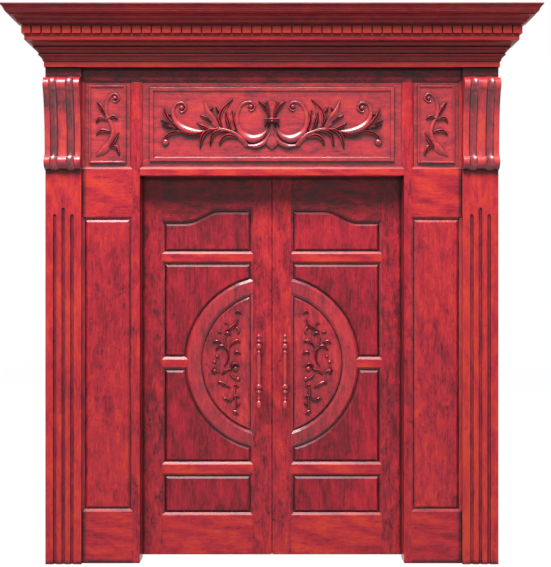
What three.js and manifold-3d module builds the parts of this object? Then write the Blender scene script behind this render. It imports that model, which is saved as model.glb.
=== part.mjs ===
// Carved double entry door: two panelled leaves in a rebated frame, with a pilastered casing,
// a carved frieze and a dentilled cornice. Millimetres, +Z up, front towards -Y.
// The pieces are drawn from the plane of the wall's outer face (y = 0), on the floor, midway between the
// jambs; the last lines move the whole door so that its origin is the middle of its plan.
import * as THREE from 'three';
import { mergeVertices } from 'three/addons/utils/BufferGeometryUtils.js';
import Module from 'manifold-3d';

const wasm = await Module();
wasm.setup();

// ---------------------------------------------------------------- driving dimensions
const openingWidth = 1476; // between the jambs
const openingHeight = 2165; // floor to the underside of the head

// frame
const jambThickness = 50;
const jambDepth = 120;
const rebate = 12; // how far the stop stands proud of the rebate
const stopDepth = 70; // front part of the jamb, which the leaf closes against

// casing
const casingThickness = 45;
const casingStileFace = 40;
const sidePanelWidth = 282;
const sideBottomRail = 288;
const sideTopRail = 230;
const friezeBottomRail = 36;
const friezeOpening = 500;
const friezeTopRail = 60;
const pilasterWidth = 200;
const pilasterProud = 20; // pilaster face in front of the casing face
const pilasterWall = 30;
const fluteWidth = 19;
const fluteDepth = 9;
const fluteSpacing = 48;
const fluteDrop = 244; // from the corbel's foot to the outer flutes' round tops
const middleFluteRise = 36;

// corbel
const corbelLift = 27; // corbel's foot above the doorway's head
const corbelHeight = 514;
const topRollRadius = 50;
const topRollReach = 66;
const lowRollRadius = 42;
const corbelWaist = 18;
const gougeHalf = 23; // half the width of each hollow down the front
const gougeDepth = 13;
const gougeOffset = 46; // from the corbel's middle to each hollow

// cornice: projections are counted from its lowest face, heights from its soffit
const corniceFaceProud = 25; // fascia in front of the pilaster face
const corniceSideProud = 2; // fascia beyond the pilaster's outer side
const corniceWall = 24;
const bedHeight = 148;
const dentilBandHeight = 57;
const dentilReach = 98;
const dentilHeight = 40;
const dentilProud = 13;
const dentilPitch = 54;
const dentilSlot = 7;
const crownHeight = 92;
const crownReach = 189;
const topBoard = 18;

// leaf
const leafThickness = 50;
const leafGap = 3; // leaf edge to rebate
const meetingGap = 4; // between the two leaves
const floorGap = 15;
const hingeStileFace = 119;
const meetingStileFace = 106;
const lowerRail = 51;
const upperRail = 43;
const midRail = 44;
const ringRadius = 451; // middle of the ring's face
const ringFace = 63;
const ringBelow = 95.5; // from the lower rail up to the ring
const ringAbove = 99.5; // from the ring up to the upper rail
const archRise = 67;
const archRun = 190;
// these share the height that the rails, the ring and the arch leave, in these proportions
const heightParts = { bottomRail: 224, bottomPanel: 238, topPanel: 190, topRail: 186 };

// sticking and panels
const chamferWidth = 15;
const chamferDepth = 10;
const grooveDepth = 10;
const tongueReach = 8;
const tongueThickness = 12;
const raiseWidth = 15; // visible slope of a fielded panel
const fieldSetback = 3; // field face behind the face of the frame
const fit = 0.3; // clearance where one piece is cut to another

// pull handle
const pullLength = 420;
const pullDrop = 40; // pull's middle below the ring's centre
const pullOffset = 74; // from the meeting line
const pullStandoff = 45; // handle axis in front of the leaf
const pullShaftRadius = 11;
const pullBeadRadius = 17.5;
const pullPostRadius = 9;

// hinges
const lowHinge = 245; // middle of the low hinge above the leaf's foot
const highHinge = 274; // middle of the high hinge below the leaf's top
const hingeLength = 125;
const hingePlate = 3;
const hingePlateWidth = 44;
const knuckleRadius = 8;
const pinRadius = 4;
const knuckleGap = 0.5;
const pinClearance = 0.4;
const plateGap = 1; // between the closed plates
const pinTip = 5; // pin end beyond the last knuckle

// ---------------------------------------------------------------- derived places
const halfOpening = openingWidth / 2;
const casingFront = -casingThickness;
const pilasterFront = casingFront - pilasterProud;
const stileFaceEdge = halfOpening + casingStileFace;
const pilasterInner = stileFaceEdge + sidePanelWidth;
const pilasterOuter = pilasterInner + pilasterWidth;
const friezeBase = openingHeight + friezeBottomRail;
const friezeHead = friezeBase + friezeOpening;
const corniceBase = friezeHead + friezeTopRail;
const sideHead = openingHeight - sideTopRail;
const leafFront = stopDepth;
const leafBack = stopDepth + leafThickness;
const leafOuter = halfOpening + rebate - leafGap;
const leafInner = meetingGap / 2;
const leafTop = openingHeight + rebate - leafGap;
const hingeFaceEdge = leafOuter - hingeStileFace;
const meetingFaceEdge = leafInner + meetingStileFace;
const ringOuter = ringRadius + ringFace / 2;
const ringInner = ringRadius - ringFace / 2;
const ringZone = ringBelow + 2 * ringOuter + ringAbove;
const sharedHeight = leafTop - floorGap - lowerRail - ringZone - upperRail - archRise;
const heightPart = sharedHeight / Object.values(heightParts).reduce((sum, part) => sum + part);
const bottomPanelBase = floorGap + heightParts.bottomRail * heightPart;
const lowerRailBase = bottomPanelBase + heightParts.bottomPanel * heightPart;
const lowerPanelBase = lowerRailBase + lowerRail;
const ringCentre = lowerPanelBase + ringBelow + ringOuter;
const upperRailBase = ringCentre + ringOuter + ringAbove;
const topPanelBase = upperRailBase + upperRail;
const topPanelLow = topPanelBase + heightParts.topPanel * heightPart;
const corbelBase = openingHeight + corbelLift;
const fluteTop = corbelBase - fluteDrop;
const pullCentre = ringCentre - pullDrop;
const hingeZ = { low: floorGap + lowHinge, high: leafTop - highHinge };
const hingeHeights = [
  { place: 'low', z: hingeZ.low }, { place: 'middle', z: (hingeZ.low + hingeZ.high) / 2 },
  { place: 'high', z: hingeZ.high },
];
const over = 1; // cutters run this far past the stock

const colours = {
  lacquer: { color: 0xa5333a, roughness: 0.32, metalness: 0 },
  stileWood: { color: 0xb8383a, roughness: 0.3, metalness: 0 },
  railWood: { color: 0xc23c2c, roughness: 0.3, metalness: 0 },
  corniceWood: { color: 0x7c3038, roughness: 0.38, metalness: 0 },
  steel: { color: 0x9a8a6a, roughness: 0.35, metalness: 1 },
};

// ---------------------------------------------------------------- solids
const toSolid = (geometry) => {
  const plain = new THREE.BufferGeometry();
  plain.setAttribute('position', geometry.getAttribute('position').clone());
  if (geometry.index) plain.setIndex(geometry.index.clone());
  const merged = mergeVertices(plain, 1e-4);
  const faces = [];
  const ids = merged.index.array;
  for (let i = 0; i < ids.length; i += 3) {
    const [a, b, c] = [ids[i], ids[i + 1], ids[i + 2]];
    if (a !== b && b !== c && c !== a) faces.push(a, b, c);
  }
  return new wasm.Manifold(new wasm.Mesh({
    numProp: 3,
    vertProperties: Float32Array.from(merged.getAttribute('position').array),
    triVerts: Uint32Array.from(faces),
  }));
};

const toGeometry = (solid) => {
  const mesh = solid.getMesh();
  const geometry = new THREE.BufferGeometry();
  geometry.setAttribute('position', new THREE.BufferAttribute(Float32Array.from(mesh.vertProperties), 3));
  geometry.setIndex(new THREE.BufferAttribute(Uint32Array.from(mesh.triVerts), 1));
  geometry.computeVertexNormals();
  return geometry;
};

const join = (...solids) => solids.reduce((a, b) => a.add(b));
const cut = (solid, ...cutters) => cutters.reduce((a, b) => a.subtract(b), solid);

const block = (x0, x1, y0, y1, z0, z1) => {
  const box = new THREE.BoxGeometry(x1 - x0, y1 - y0, z1 - z0);
  return toSolid(box.translate((x0 + x1) / 2, (y0 + y1) / 2, (z0 + z1) / 2));
};

const X = new THREE.Vector3(1, 0, 0);
const Y = new THREE.Vector3(0, 1, 0);
const Z = new THREE.Vector3(0, 0, 1);
const extrude = (points, length) => new THREE.ExtrudeGeometry(
  new THREE.Shape(points), { depth: length, bevelEnabled: false });

// a profile of (y, z) points run along X
const alongX = (points, x0, x1) => toSolid(extrude(points, x1 - x0)
  .applyMatrix4(new THREE.Matrix4().makeBasis(Y, Z, X)).translate(x0, 0, 0));
// a profile of (x, z) points run along Y
const alongY = (points, y0, y1) => toSolid(extrude(points, y1 - y0)
  .applyMatrix4(new THREE.Matrix4().makeBasis(X, Z, Y.clone().negate())).translate(0, y1, 0));

// a closed skin over rings of equal count; each end is closed by triangles over its flattened ring
const skin = (rings, flatten) => {
  const count = rings[0].length;
  const index = [];
  for (let k = 0; k + 1 < rings.length; k += 1) {
    for (let i = 0; i < count; i += 1) {
      const [a, b] = [k * count + i, k * count + ((i + 1) % count)];
      index.push(a, b, b + count, a, b + count, a + count);
    }
  }
  const caps = [[rings[0], 0, true], [rings.at(-1), (rings.length - 1) * count, false]];
  for (const [ring, start, back] of caps) {
    for (const [a, b, c] of THREE.ShapeUtils.triangulateShape(ring.map(flatten), [])) {
      index.push(start + a, start + (back ? c : b), start + (back ? b : c));
    }
  }
  const geometry = new THREE.BufferGeometry().setFromPoints(rings.flat());
  geometry.setIndex(index);
  return toSolid(geometry);
};
// a skin through outlines of (x, z) points, one for each y from back to front
const loft = (levels) => skin(
  levels.map(({ outline, y }) => outline.map((p) => new THREE.Vector3(p.x, y, p.y))),
  (p) => new THREE.Vector2(p.x, p.z),
);

// the same piece for the other side of the door
const mirrored = (geometry) => {
  const copy = geometry.clone().scale(-1, 1, 1);
  const ids = copy.index.array;
  for (let i = 0; i < ids.length; i += 3) [ids[i + 1], ids[i + 2]] = [ids[i + 2], ids[i + 1]];
  copy.computeVertexNormals();
  return copy;
};

const door = new THREE.Group();
const place = (name, solid, finish, into = door, flip = false) => {
  const geometry = flip ? mirrored(toGeometry(solid)) : toGeometry(solid);
  const mesh = new THREE.Mesh(geometry, new THREE.MeshStandardMaterial(colours[finish]));
  mesh.name = name;
  into.add(mesh);
};
// every piece here is drawn on the left side (x < 0) and mirrored for the right
const placePair = (name, solid, finish, groups = [door, door]) => {
  place(`left_${name}`, solid, finish, groups[0]);
  place(`right_${name}`, solid, finish, groups[1], true);
};

// ---------------------------------------------------------------- outlines, anticlockwise in (x, z)
const point = (x, z) => new THREE.Vector2(x, z);
const rectangle = (x0, x1, z0, z1) => (inset) => [
  point(x0 + inset, z0 + inset), point(x1 - inset, z0 + inset),
  point(x1 - inset, z1 - inset), point(x0 + inset, z1 - inset),
];

// ---------------------------------------------------------------- frame-and-panel work
// A frame of the given thickness between yFront and yBack holds a panel in each opening. The opening's
// face edge is outline(0); the chamfer ends at the sight line, outline(chamferWidth).
const stickingCutter = (outline, yFront, yBack, bothSides) => {
  const flare = (over * chamferWidth) / chamferDepth;
  const frontLevels = [
    { outline: outline(chamferWidth), y: yFront + chamferDepth },
    { outline: outline(-flare), y: yFront - over },
  ];
  const backLevels = bothSides
    ? [
      { outline: outline(-flare), y: yBack + over },
      { outline: outline(chamferWidth), y: yBack - chamferDepth },
    ]
    : [{ outline: outline(chamferWidth), y: yBack + over }];
  const middle = (yFront + yBack) / 2;
  const groove = grooveWidth(yBack - yFront, bothSides) / 2;
  const slot = outline(chamferWidth - grooveDepth);
  return join(
    loft([...backLevels, ...frontLevels]),
    loft([{ outline: slot, y: middle + groove }, { outline: slot, y: middle - groove }]),
  );
};

// half-thickness of a fielded panel at the mouth of its groove, plus the fit
const panelRise = (thickness) => thickness / 2 - fieldSetback - tongueThickness / 2;
const grooveWidth = (thickness) => tongueThickness + 2 * fit
  + (2 * panelRise(thickness) * tongueReach) / (tongueReach + raiseWidth);

const fieldedPanel = (outline, yFront, yBack) => {
  const middle = (yFront + yBack) / 2;
  const edge = outline(chamferWidth - tongueReach);
  const field = outline(chamferWidth + raiseWidth);
  return loft([
    { outline: field, y: yBack - fieldSetback },
    { outline: edge, y: middle + tongueThickness / 2 },
    { outline: edge, y: middle - tongueThickness / 2 },
    { outline: field, y: yFront + fieldSetback },
  ]);
};

// ---------------------------------------------------------------- carving
// Relief is built up from gouge strokes. A stroke is a ridge along a line: each of its points gives
// (x, z, half-width) from the middle of the carved field, and the ridge is highest where it is widest.
// fullness spreads all strokes of a pattern.
const strokeBite = 2; // how far carving reaches into its ground
const finestStroke = 1.5;
const narrowSection = [[1, 0], [0.1, 1], [-1, 0]];
const broadSection = [[1, 0], [0.35, 1], [-0.75, 0.55], [-1, 0]];
const stroke = (points, { relief, broad, fullness }) => {
  const along = points.map((p) => new THREE.Vector3(...p));
  const widest = Math.max(...points.map((p) => p[2]));
  const section = widest > broad ? broadSection : narrowSection;
  const rings = along.map((p, i) => {
    const way = along[Math.min(i + 1, along.length - 1)].clone().sub(along[Math.max(i - 1, 0)]);
    way.z = 0;
    way.normalize();
    const half = Math.max(p.z * fullness, finestStroke);
    const height = relief * (0.35 + 0.65 * (p.z / widest));
    return section.map(([across, rise]) => new THREE.Vector3(
      p.x - way.y * across * half, rise ? -height * rise : strokeBite, p.y + way.x * across * half));
  });
  return skin(rings, (p, i) => new THREE.Vector2(...section[i]));
};
const bossSides = 6;
const boss = ([x, z, radius], relief) => {
  const profile = [[0, -strokeBite], [radius, -strokeBite], [radius * 0.8, relief * 0.6], [0, relief]];
  return toSolid(new THREE.LatheGeometry(profile.map((p) => new THREE.Vector2(...p)), bossSides)
    .rotateX(Math.PI).translate(x, 0, z));
};
// mirror: also carve the other half, so that the pattern is drawn once
const scrollwork = (pattern, x, y, z, mirror = false) => {
  const drawn = join(...pattern.strokes.map((points) => stroke(points, pattern)),
    ...pattern.bosses.map((at) => boss(at, pattern.relief)));
  const whole = mirror ? drawn.add(toSolid(mirrored(toGeometry(drawn)))) : drawn;
  return toSolid(toGeometry(whole).translate(x, y, z));
};

// ---------------------------------------------------------------- door frame
const frameBottom = 0;
const jambOuter = halfOpening + jambThickness;
const headTop = openingHeight + jambThickness;
const jambSection = (top) => join(
  block(-jambOuter, -halfOpening, 0, stopDepth, frameBottom, top),
  block(-jambOuter, -halfOpening - rebate, stopDepth - over, jambDepth, frameBottom, top + rebate),
);
const headStock = join(
  block(-jambOuter, jambOuter, 0, stopDepth, openingHeight, headTop),
  block(-jambOuter, jambOuter, stopDepth - over, jambDepth, openingHeight + rebate, headTop),
);

// butt hinge on the left leaf: its pin stands just behind the leaf, in the middle of the gap
const pinX = -(halfOpening + rebate - leafGap / 2);
const pinY = leafBack + knuckleRadius + plateGap / 2;
const knuckle = hingeLength / 5;
const hingeSides = 8;
const rod = (radius, z0, z1) => toSolid(new THREE.CylinderGeometry(radius, radius, z1 - z0, hingeSides)
  .rotateX(Math.PI / 2).translate(pinX, pinY, (z0 + z1) / 2));
// side is -1 for the frame plate and +1 for the leaf plate
const hingePlateAt = (side, z, grow = 0) => {
  const near = pinX + (side * plateGap) / 2;
  const far = near + side * (hingePlate + grow);
  const [x0, x1] = [Math.min(near, far), Math.max(near, far)];
  return block(x0, x1, pinY - knuckleRadius - hingePlateWidth - grow, pinY, z - hingeLength / 2 - grow,
    z + hingeLength / 2 + grow);
};
const knuckleSpan = (z, k) => [z - hingeLength / 2 + k * knuckle, z - hingeLength / 2 + (k + 1) * knuckle];
const knuckleRoom = (z, k) => {
  const [z0, z1] = knuckleSpan(z, k);
  return block(pinX - knuckleRadius - over, pinX + knuckleRadius + over, leafBack + plateGap / 2 - fit,
    pinY + knuckleRadius + over, z0 - knuckleGap / 2, z1 + knuckleGap / 2);
};
const frameHinge = (z) => {
  const plate = cut(hingePlateAt(-1, z), knuckleRoom(z, 1), knuckleRoom(z, 3));
  const knuckles = [0, 2, 4].map((k) => {
    const [z0, z1] = knuckleSpan(z, k);
    return rod(knuckleRadius, z0 + (k ? knuckleGap / 2 : 0), z1 - (k < 4 ? knuckleGap / 2 : 0));
  });
  const pinHalf = hingeLength / 2 + pinTip;
  return join(plate, ...knuckles, rod(pinRadius, z - pinHalf, z + pinHalf));
};
// the leaf's half of each hinge is let into the stile and screwed: it is made with the stile
const leafHinge = (z) => {
  const plate = cut(hingePlateAt(1, z), knuckleRoom(z, 0), knuckleRoom(z, 2), knuckleRoom(z, 4));
  const knuckles = [1, 3].map((k) => {
    const [z0, z1] = knuckleSpan(z, k);
    return rod(knuckleRadius, z0 + knuckleGap / 2, z1 - knuckleGap / 2);
  });
  return cut(join(plate, ...knuckles), rod(pinRadius + pinClearance, z - hingeLength, z + hingeLength));
};

const hingePockets = hingeHeights.map(({ z }) => hingePlateAt(-1, z, fit));
placePair('jamb', cut(jambSection(openingHeight), headStock, ...hingePockets), 'stileWood');
place('head_jamb', headStock, 'railWood');
for (const { place: where, z } of hingeHeights) placePair(`${where}_hinge`, frameHinge(z), 'steel');

// ---------------------------------------------------------------- leaves, drawn closed on the left side
const leafStock = (x0, x1, z0, z1) => block(x0, x1, leafFront, leafBack, z0, z1);
const xHinge = -hingeFaceEdge;
const xMeet = -meetingFaceEdge;

// top opening: level on the hinge side, rising through an ogee to level again at the meeting stile
const archSteps = 8;
const archStart = (xHinge + xMeet) / 2 - archRun / 2 - archRise / 2;
const topOutline = (inset) => {
  const crest = [];
  for (let i = archSteps; i >= 0; i -= 1) {
    const t = i / archSteps;
    const slope = (archRise / archRun) * (Math.PI / 2) * Math.sin(Math.PI * t);
    const lean = Math.hypot(1, slope);
    const rise = (archRise * (1 - Math.cos(Math.PI * t))) / 2;
    crest.push(point(archStart + archRun * t + (slope * inset) / lean, topPanelLow + rise - inset / lean));
  }
  return [
    point(xHinge + inset, topPanelBase + inset), point(xMeet - inset, topPanelBase + inset),
    point(xMeet - inset, topPanelLow + archRise - inset), ...crest,
    point(xHinge + inset, topPanelLow - inset),
  ];
};

// corner openings outside the ring; side is +1 above the mid rail and -1 below it
const arcStep = Math.PI / 24;
const widestInset = chamferWidth + raiseWidth;
const onRing = (radius, angle) => point(radius * Math.cos(angle), ringCentre + radius * Math.sin(angle));
// arc points at shared angles strictly between two limits, so that concentric arcs keep parallel facets
const arcBetween = (radius, from, to) => {
  const outline = [];
  for (let angle = (Math.floor(from / arcStep) + 1) * arcStep; angle < to; angle += arcStep) {
    outline.push(onRing(radius, angle));
  }
  return outline;
};
const meetAngle = (radius, inset) => Math.acos((xMeet - inset) / radius);
const railAngle = (inset) => Math.PI - Math.asin((midRail / 2 + inset) / (ringOuter + inset));
const cornerOutline = (side, reach) => (inset) => {
  const radius = ringOuter + inset;
  const railEdge = midRail / 2 + inset;
  const right = xMeet - inset;
  const arc = [
    onRing(radius, meetAngle(radius, inset)),
    ...arcBetween(radius, meetAngle(ringOuter + widestInset, widestInset), railAngle(widestInset)),
    onRing(radius, railAngle(inset)),
  ];
  const outline = arc.map((p) => point(p.x, ringCentre + side * (p.y - ringCentre)));
  outline.push(point(xHinge + inset, ringCentre + side * railEdge));
  outline.push(point(xHinge + inset, ringCentre + side * (reach - inset)));
  outline.push(point(right, ringCentre + side * (reach - inset)));
  return side > 0 ? outline.reverse() : outline;
};
const moonOutline = (inset) => {
  const radius = ringInner - inset;
  const start = meetAngle(radius, inset);
  const inner = meetAngle(ringInner - widestInset, widestInset);
  return [
    onRing(radius, start), ...arcBetween(radius, inner, 2 * Math.PI - inner),
    onRing(radius, 2 * Math.PI - start),
  ];
};
const leafOutlines = {
  top_panel: topOutline,
  upper_panel: cornerOutline(1, upperRailBase - ringCentre),
  moon_panel: moonOutline,
  lower_panel: cornerOutline(-1, ringCentre - lowerPanelBase),
  bottom_panel: rectangle(xHinge, xMeet, bottomPanelBase, lowerRailBase),
};
const leafCutters = Object.values(leafOutlines)
  .map((outline) => stickingCutter(outline, leafFront, leafBack, true));

const leafTopStock = leafStock(xHinge, xMeet, topPanelLow - chamferWidth, leafTop);
const upperStock = leafStock(xHinge, xMeet, upperRailBase - chamferWidth, topPanelBase + chamferWidth);
const lowerStock = leafStock(xHinge, xMeet, lowerRailBase - chamferWidth, lowerPanelBase + chamferWidth);
const bottomStock = leafStock(xHinge, xMeet, floorGap, bottomPanelBase + chamferWidth);
const disc = (radius) => {
  const outline = arcBetween(radius, 0, 2 * Math.PI + arcStep / 2);
  return loft([{ outline, y: leafBack }, { outline, y: leafFront }]);
};
const midHeight = midRail / 2 + chamferWidth;
const midBlock = leafStock(xHinge, -ringInner, ringCentre - midHeight, ringCentre + midHeight);
const midStock = cut(midBlock, disc(ringOuter + fit));
const beyondMeet = block(xMeet, ringOuter * 2, leafFront - over, leafBack + over, 0, leafTop);
const moonSight = moonOutline(chamferWidth);
const moonLevels = [{ outline: moonSight, y: leafBack + over }, { outline: moonSight, y: leafFront - over }];
const ringStock = cut(disc(ringOuter + chamferWidth), loft(moonLevels), beyondMeet,
  cut(midBlock, disc(ringOuter)));

const railStocks = {
  top_rail: leafTopStock, upper_rail: upperStock, lower_rail: lowerStock, bottom_rail: bottomStock,
};
const hingeStile = cut(leafStock(-leafOuter, xHinge + chamferWidth, floorGap, leafTop),
  ...Object.values(railStocks), leafStock(xHinge, 0, ringCentre - midHeight, ringCentre + midHeight),
  ...leafCutters, ...hingeHeights.map(({ z }) => hingePlateAt(-1, z, fit)));
const meetingStile = cut(leafStock(xMeet - chamferWidth, -leafInner, floorGap, leafTop),
  ...Object.values(railStocks), ringStock, ...leafCutters);

// turned pull: a beaded spindle on two posts; the turning lists (radius, distance from that end)
const pullAxisY = leafFront - pullStandoff;
const pullNeck = 7;
const pullCollar = 15;
const pullSides = 6;
const headTurning = [
  [0, 0], [pullShaftRadius * 0.7, 3], [pullShaftRadius, 14], [pullNeck, 24], [pullNeck, 30], [pullCollar, 40],
  [pullCollar, 46], [pullNeck, 58], [pullBeadRadius, 72], [pullBeadRadius, 84], [pullNeck, 105],
  [pullShaftRadius + 1, 112], [pullShaftRadius, 120],
];
const footTurning = [
  [0, 0], [pullCollar, 4], [pullBeadRadius, 16], [pullCollar, 32], [pullNeck, 40], [pullShaftRadius, 46],
  [pullNeck, 54], [pullNeck, 64], [pullBeadRadius, 78], [pullBeadRadius, 86], [pullNeck, 98],
  [pullCollar, 112], [pullCollar, 122], [pullShaftRadius, 140],
];
const pullTurning = [
  ...footTurning.map(([radius, along]) => new THREE.Vector2(radius, along - pullLength / 2)),
  ...headTurning.toReversed().map(([radius, along]) => new THREE.Vector2(radius, pullLength / 2 - along)),
];
const pullPostHeights = [pullLength / 2 - 78, 82 - pullLength / 2]; // at the two large beads
const spindle = toSolid(new THREE.LatheGeometry(pullTurning, pullSides)
  .rotateX(Math.PI / 2).translate(-pullOffset, pullAxisY, pullCentre));
const pullPost = (height) => toSolid(
  new THREE.CylinderGeometry(pullPostRadius, pullPostRadius * 1.3, pullStandoff, pullSides)
    .rotateX(Math.PI).translate(-pullOffset, pullAxisY + pullStandoff / 2, pullCentre + height));
const pull = join(spindle, ...pullPostHeights.map(pullPost));

const leaves = [new THREE.Group(), new THREE.Group()];
leaves.forEach((leaf) => door.add(leaf));
placePair('hinge_stile', join(hingeStile, ...hingeHeights.map(({ z }) => leafHinge(z))), 'stileWood', leaves);
placePair('meeting_stile', meetingStile, 'stileWood', leaves);
for (const [name, stock] of Object.entries(railStocks)) {
  placePair(name, cut(stock, ...leafCutters), 'railWood', leaves);
}
placePair('mid_rail', cut(midStock, ...leafCutters), 'railWood', leaves);
placePair('half_ring', cut(ringStock, ...leafCutters), 'stileWood', leaves);
// left half moon: an open wreath with a shell, between curling leaves; x is counted from the meeting line
const moonScrollwork = {
  relief: 11,
  fullness: 1.3,
  broad: 12,
  bosses: [[-314, 40, 8], [-328, 9, 8], [-194, -90, 11], [-208, -32, 13], [-328, -42, 10]],
  strokes: [
    [[-210, 286, 2], [-195, 297, 6], [-178, 283, 3]],
    [[-194, 250, 2], [-208, 225, 9], [-233, 203, 9], [-268, 184, 2]],
    [[-271, 227, 2], [-259, 235, 5], [-250, 221, 2]],
    [[-208, 205, 2], [-197, 203, 5], [-188, 181, 5], [-200, 175, 3]],
    [[-311, 177, 2], [-298, 183, 5], [-287, 172, 2]],
    [[-271, 166, 2], [-254, 174, 9], [-236, 161, 2]],
    [[-256, 170, 3], [-270, 140, 4], [-262, 98, 4]],
    [[-338, 116, 3], [-317, 126, 9], [-291, 119, 3]],
    [[-320, 76, 3], [-296, 100, 8], [-268, 92, 7], [-251, 59, 6], [-254, 15, 5], [-273, -18, 3]],
    [[-268, 92, 4], [-243, 70, 2]],
    [[-243, 92, 3], [-221, 121, 7], [-197, 130, 8], [-182, 119, 2]],
    [[-216, 54, 2], [-199, 65, 8], [-177, 54, 2]],
    [[-237, -12, 3], [-214, -2, 7], [-186, -16, 3]],
    [[-237, -34, 3], [-224, -14, 6], [-206, -12, 3]],
    [[-287, -62, 4], [-262, -40, 7], [-228, -34, 4]],
    [[-328, -20, 3], [-340, -42, 6], [-327, -62, 3]],
    [[-328, -38, 5], [-300, -48, 3]],
    [[-240, -60, 4], [-222, -79, 5], [-205, -86, 4]],
    [[-309, -119, 3], [-300, -106, 7], [-268, -121, 9], [-237, -139, 2]],
    [[-219, -128, 2], [-207, -124, 6], [-190, -135, 2]],
    [[-208, -124, 3], [-214, -171, 5], [-207, -214, 5], [-214, -262, 4]],
    [[-222, -190, 2], [-205, -184, 7], [-185, -197, 2]],
    [[-280, -196, 3], [-262, -203, 8], [-242, -217, 2]],
    [[-242, -217, 2], [-226, -200, 3], [-212, -178, 3]],
    [[-182, -227, 3], [-203, -245, 6]],
    [[-222, -270, 4], [-207, -279, 11], [-190, -290, 3]],
  ],
};
const leafPanels = Object.fromEntries(Object.entries(leafOutlines)
  .map(([name, outline]) => [name, fieldedPanel(outline, leafFront, leafBack)]));
leafPanels.moon_panel = join(leafPanels.moon_panel,
  scrollwork(moonScrollwork, 0, leafFront + fieldSetback, ringCentre));
for (const [name, solid] of Object.entries(leafPanels)) placePair(name, solid, 'lacquer', leaves);
placePair('pull', pull, 'stileWood', leaves);

// ---------------------------------------------------------------- casing, left side
const casingStock = (x0, x1, z0, z1) => block(x0, x1, casingFront, 0, z0, z1);
const xStile = -stileFaceEdge;
const xPilaster = -pilasterInner;
const sidePanelOutline = rectangle(xPilaster, xStile, sideBottomRail, sideHead);
const longFriezeSpan = [xStile + casingStileFace, -xStile - casingStileFace, friezeBase, friezeHead];
const smallFriezeSpan = [xPilaster, xStile, friezeBase, friezeHead];
const longFriezeOutline = rectangle(...longFriezeSpan);
const smallFriezeOutline = rectangle(...smallFriezeSpan);
const rightFriezeOutline = rectangle(-xStile, -xPilaster, friezeBase, friezeHead);
const casingCutters = [sidePanelOutline, smallFriezeOutline, longFriezeOutline, rightFriezeOutline]
  .map((outline) => stickingCutter(outline, casingFront, 0, false));

const sideRails = {
  side_bottom_rail: casingStock(xPilaster, xStile, 0, sideBottomRail + chamferWidth),
  side_top_rail: casingStock(xPilaster, xStile, sideHead - chamferWidth, openingHeight),
  frieze_rail: casingStock(xPilaster, xStile, openingHeight, friezeBase + chamferWidth),
};
const longRail = casingStock(-halfOpening, halfOpening, openingHeight, friezeBase + chamferWidth);
const topRail = casingStock(xPilaster, -xPilaster, friezeHead - chamferWidth, corniceBase);
const casingStile = cut(casingStock(xStile - chamferWidth, -halfOpening + chamferWidth, 0, corniceBase),
  block(-halfOpening, 0, casingFront - over, over, 0, friezeBase + chamferWidth), topRail,
  ...Object.values(sideRails), ...casingCutters);
placePair('casing_stile', casingStile, 'stileWood');
for (const [name, stock] of Object.entries(sideRails)) {
  placePair(name, cut(stock, ...casingCutters), 'railWood');
}
place('center_frieze_rail', cut(longRail, ...casingCutters), 'railWood');
place('frieze_top_rail', cut(topRail, ...casingCutters), 'corniceWood');
placePair('side_panel', fieldedPanel(sidePanelOutline, casingFront, 0), 'lacquer');

// pilaster: a fluted box, open at the back, whose inner edge carries the panel groove
const flute = (x, top) => toSolid(new THREE.CapsuleGeometry(fluteWidth / 2, top, 3, 8)
  .scale(1, 1, (2 * fluteDepth) / fluteWidth).rotateX(Math.PI / 2)
  .translate(x, pilasterFront, top / 2 - fluteWidth / 2));
const pilasterMiddle = -(pilasterInner + pilasterWidth / 2);
const pilasterStock = join(
  block(-pilasterOuter, xPilaster, pilasterFront, 0, 0, corniceBase),
  cut(casingStock(xPilaster - over, xPilaster + chamferWidth, 0, corniceBase), topRail,
    ...Object.values(sideRails)),
);
const pilaster = cut(pilasterStock,
  block(-pilasterOuter + pilasterWall, xPilaster - pilasterWall, pilasterFront + pilasterWall, over, -over,
    corniceBase + over),
  flute(pilasterMiddle - fluteSpacing, fluteTop), flute(pilasterMiddle + fluteSpacing, fluteTop),
  flute(pilasterMiddle, fluteTop + middleFluteRise), ...casingCutters);
placePair('pilaster', pilaster, 'stileWood');

// corbel: a thick S-scroll with a roll at each end and two hollows gouged down its front
const corbelTop = corbelBase + corbelHeight;
const topRollZ = corbelTop - topRollRadius;
const lowRollZ = corbelBase + lowRollRadius;
const topRollProud = topRollReach - topRollRadius;
const corbelSteps = 6; // along each curve of the front
const corbelFront = () => {
  const path = new THREE.Path();
  path.moveTo(topRollProud, corbelTop);
  path.absarc(topRollProud, topRollZ, topRollRadius, Math.PI / 2, -Math.PI / 5, true);
  path.bezierCurveTo(
    topRollReach * 0.62, topRollZ - topRollRadius * 1.6, corbelWaist, (topRollZ + lowRollZ) / 2 + 30,
    corbelWaist, lowRollZ + lowRollRadius * 1.35,
  );
  path.absarc(0, lowRollZ, lowRollRadius, Math.PI / 3.2, -Math.PI * 0.48, true);
  return path;
};
const corbelMiddle = -(pilasterInner + pilasterWidth / 2);
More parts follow.
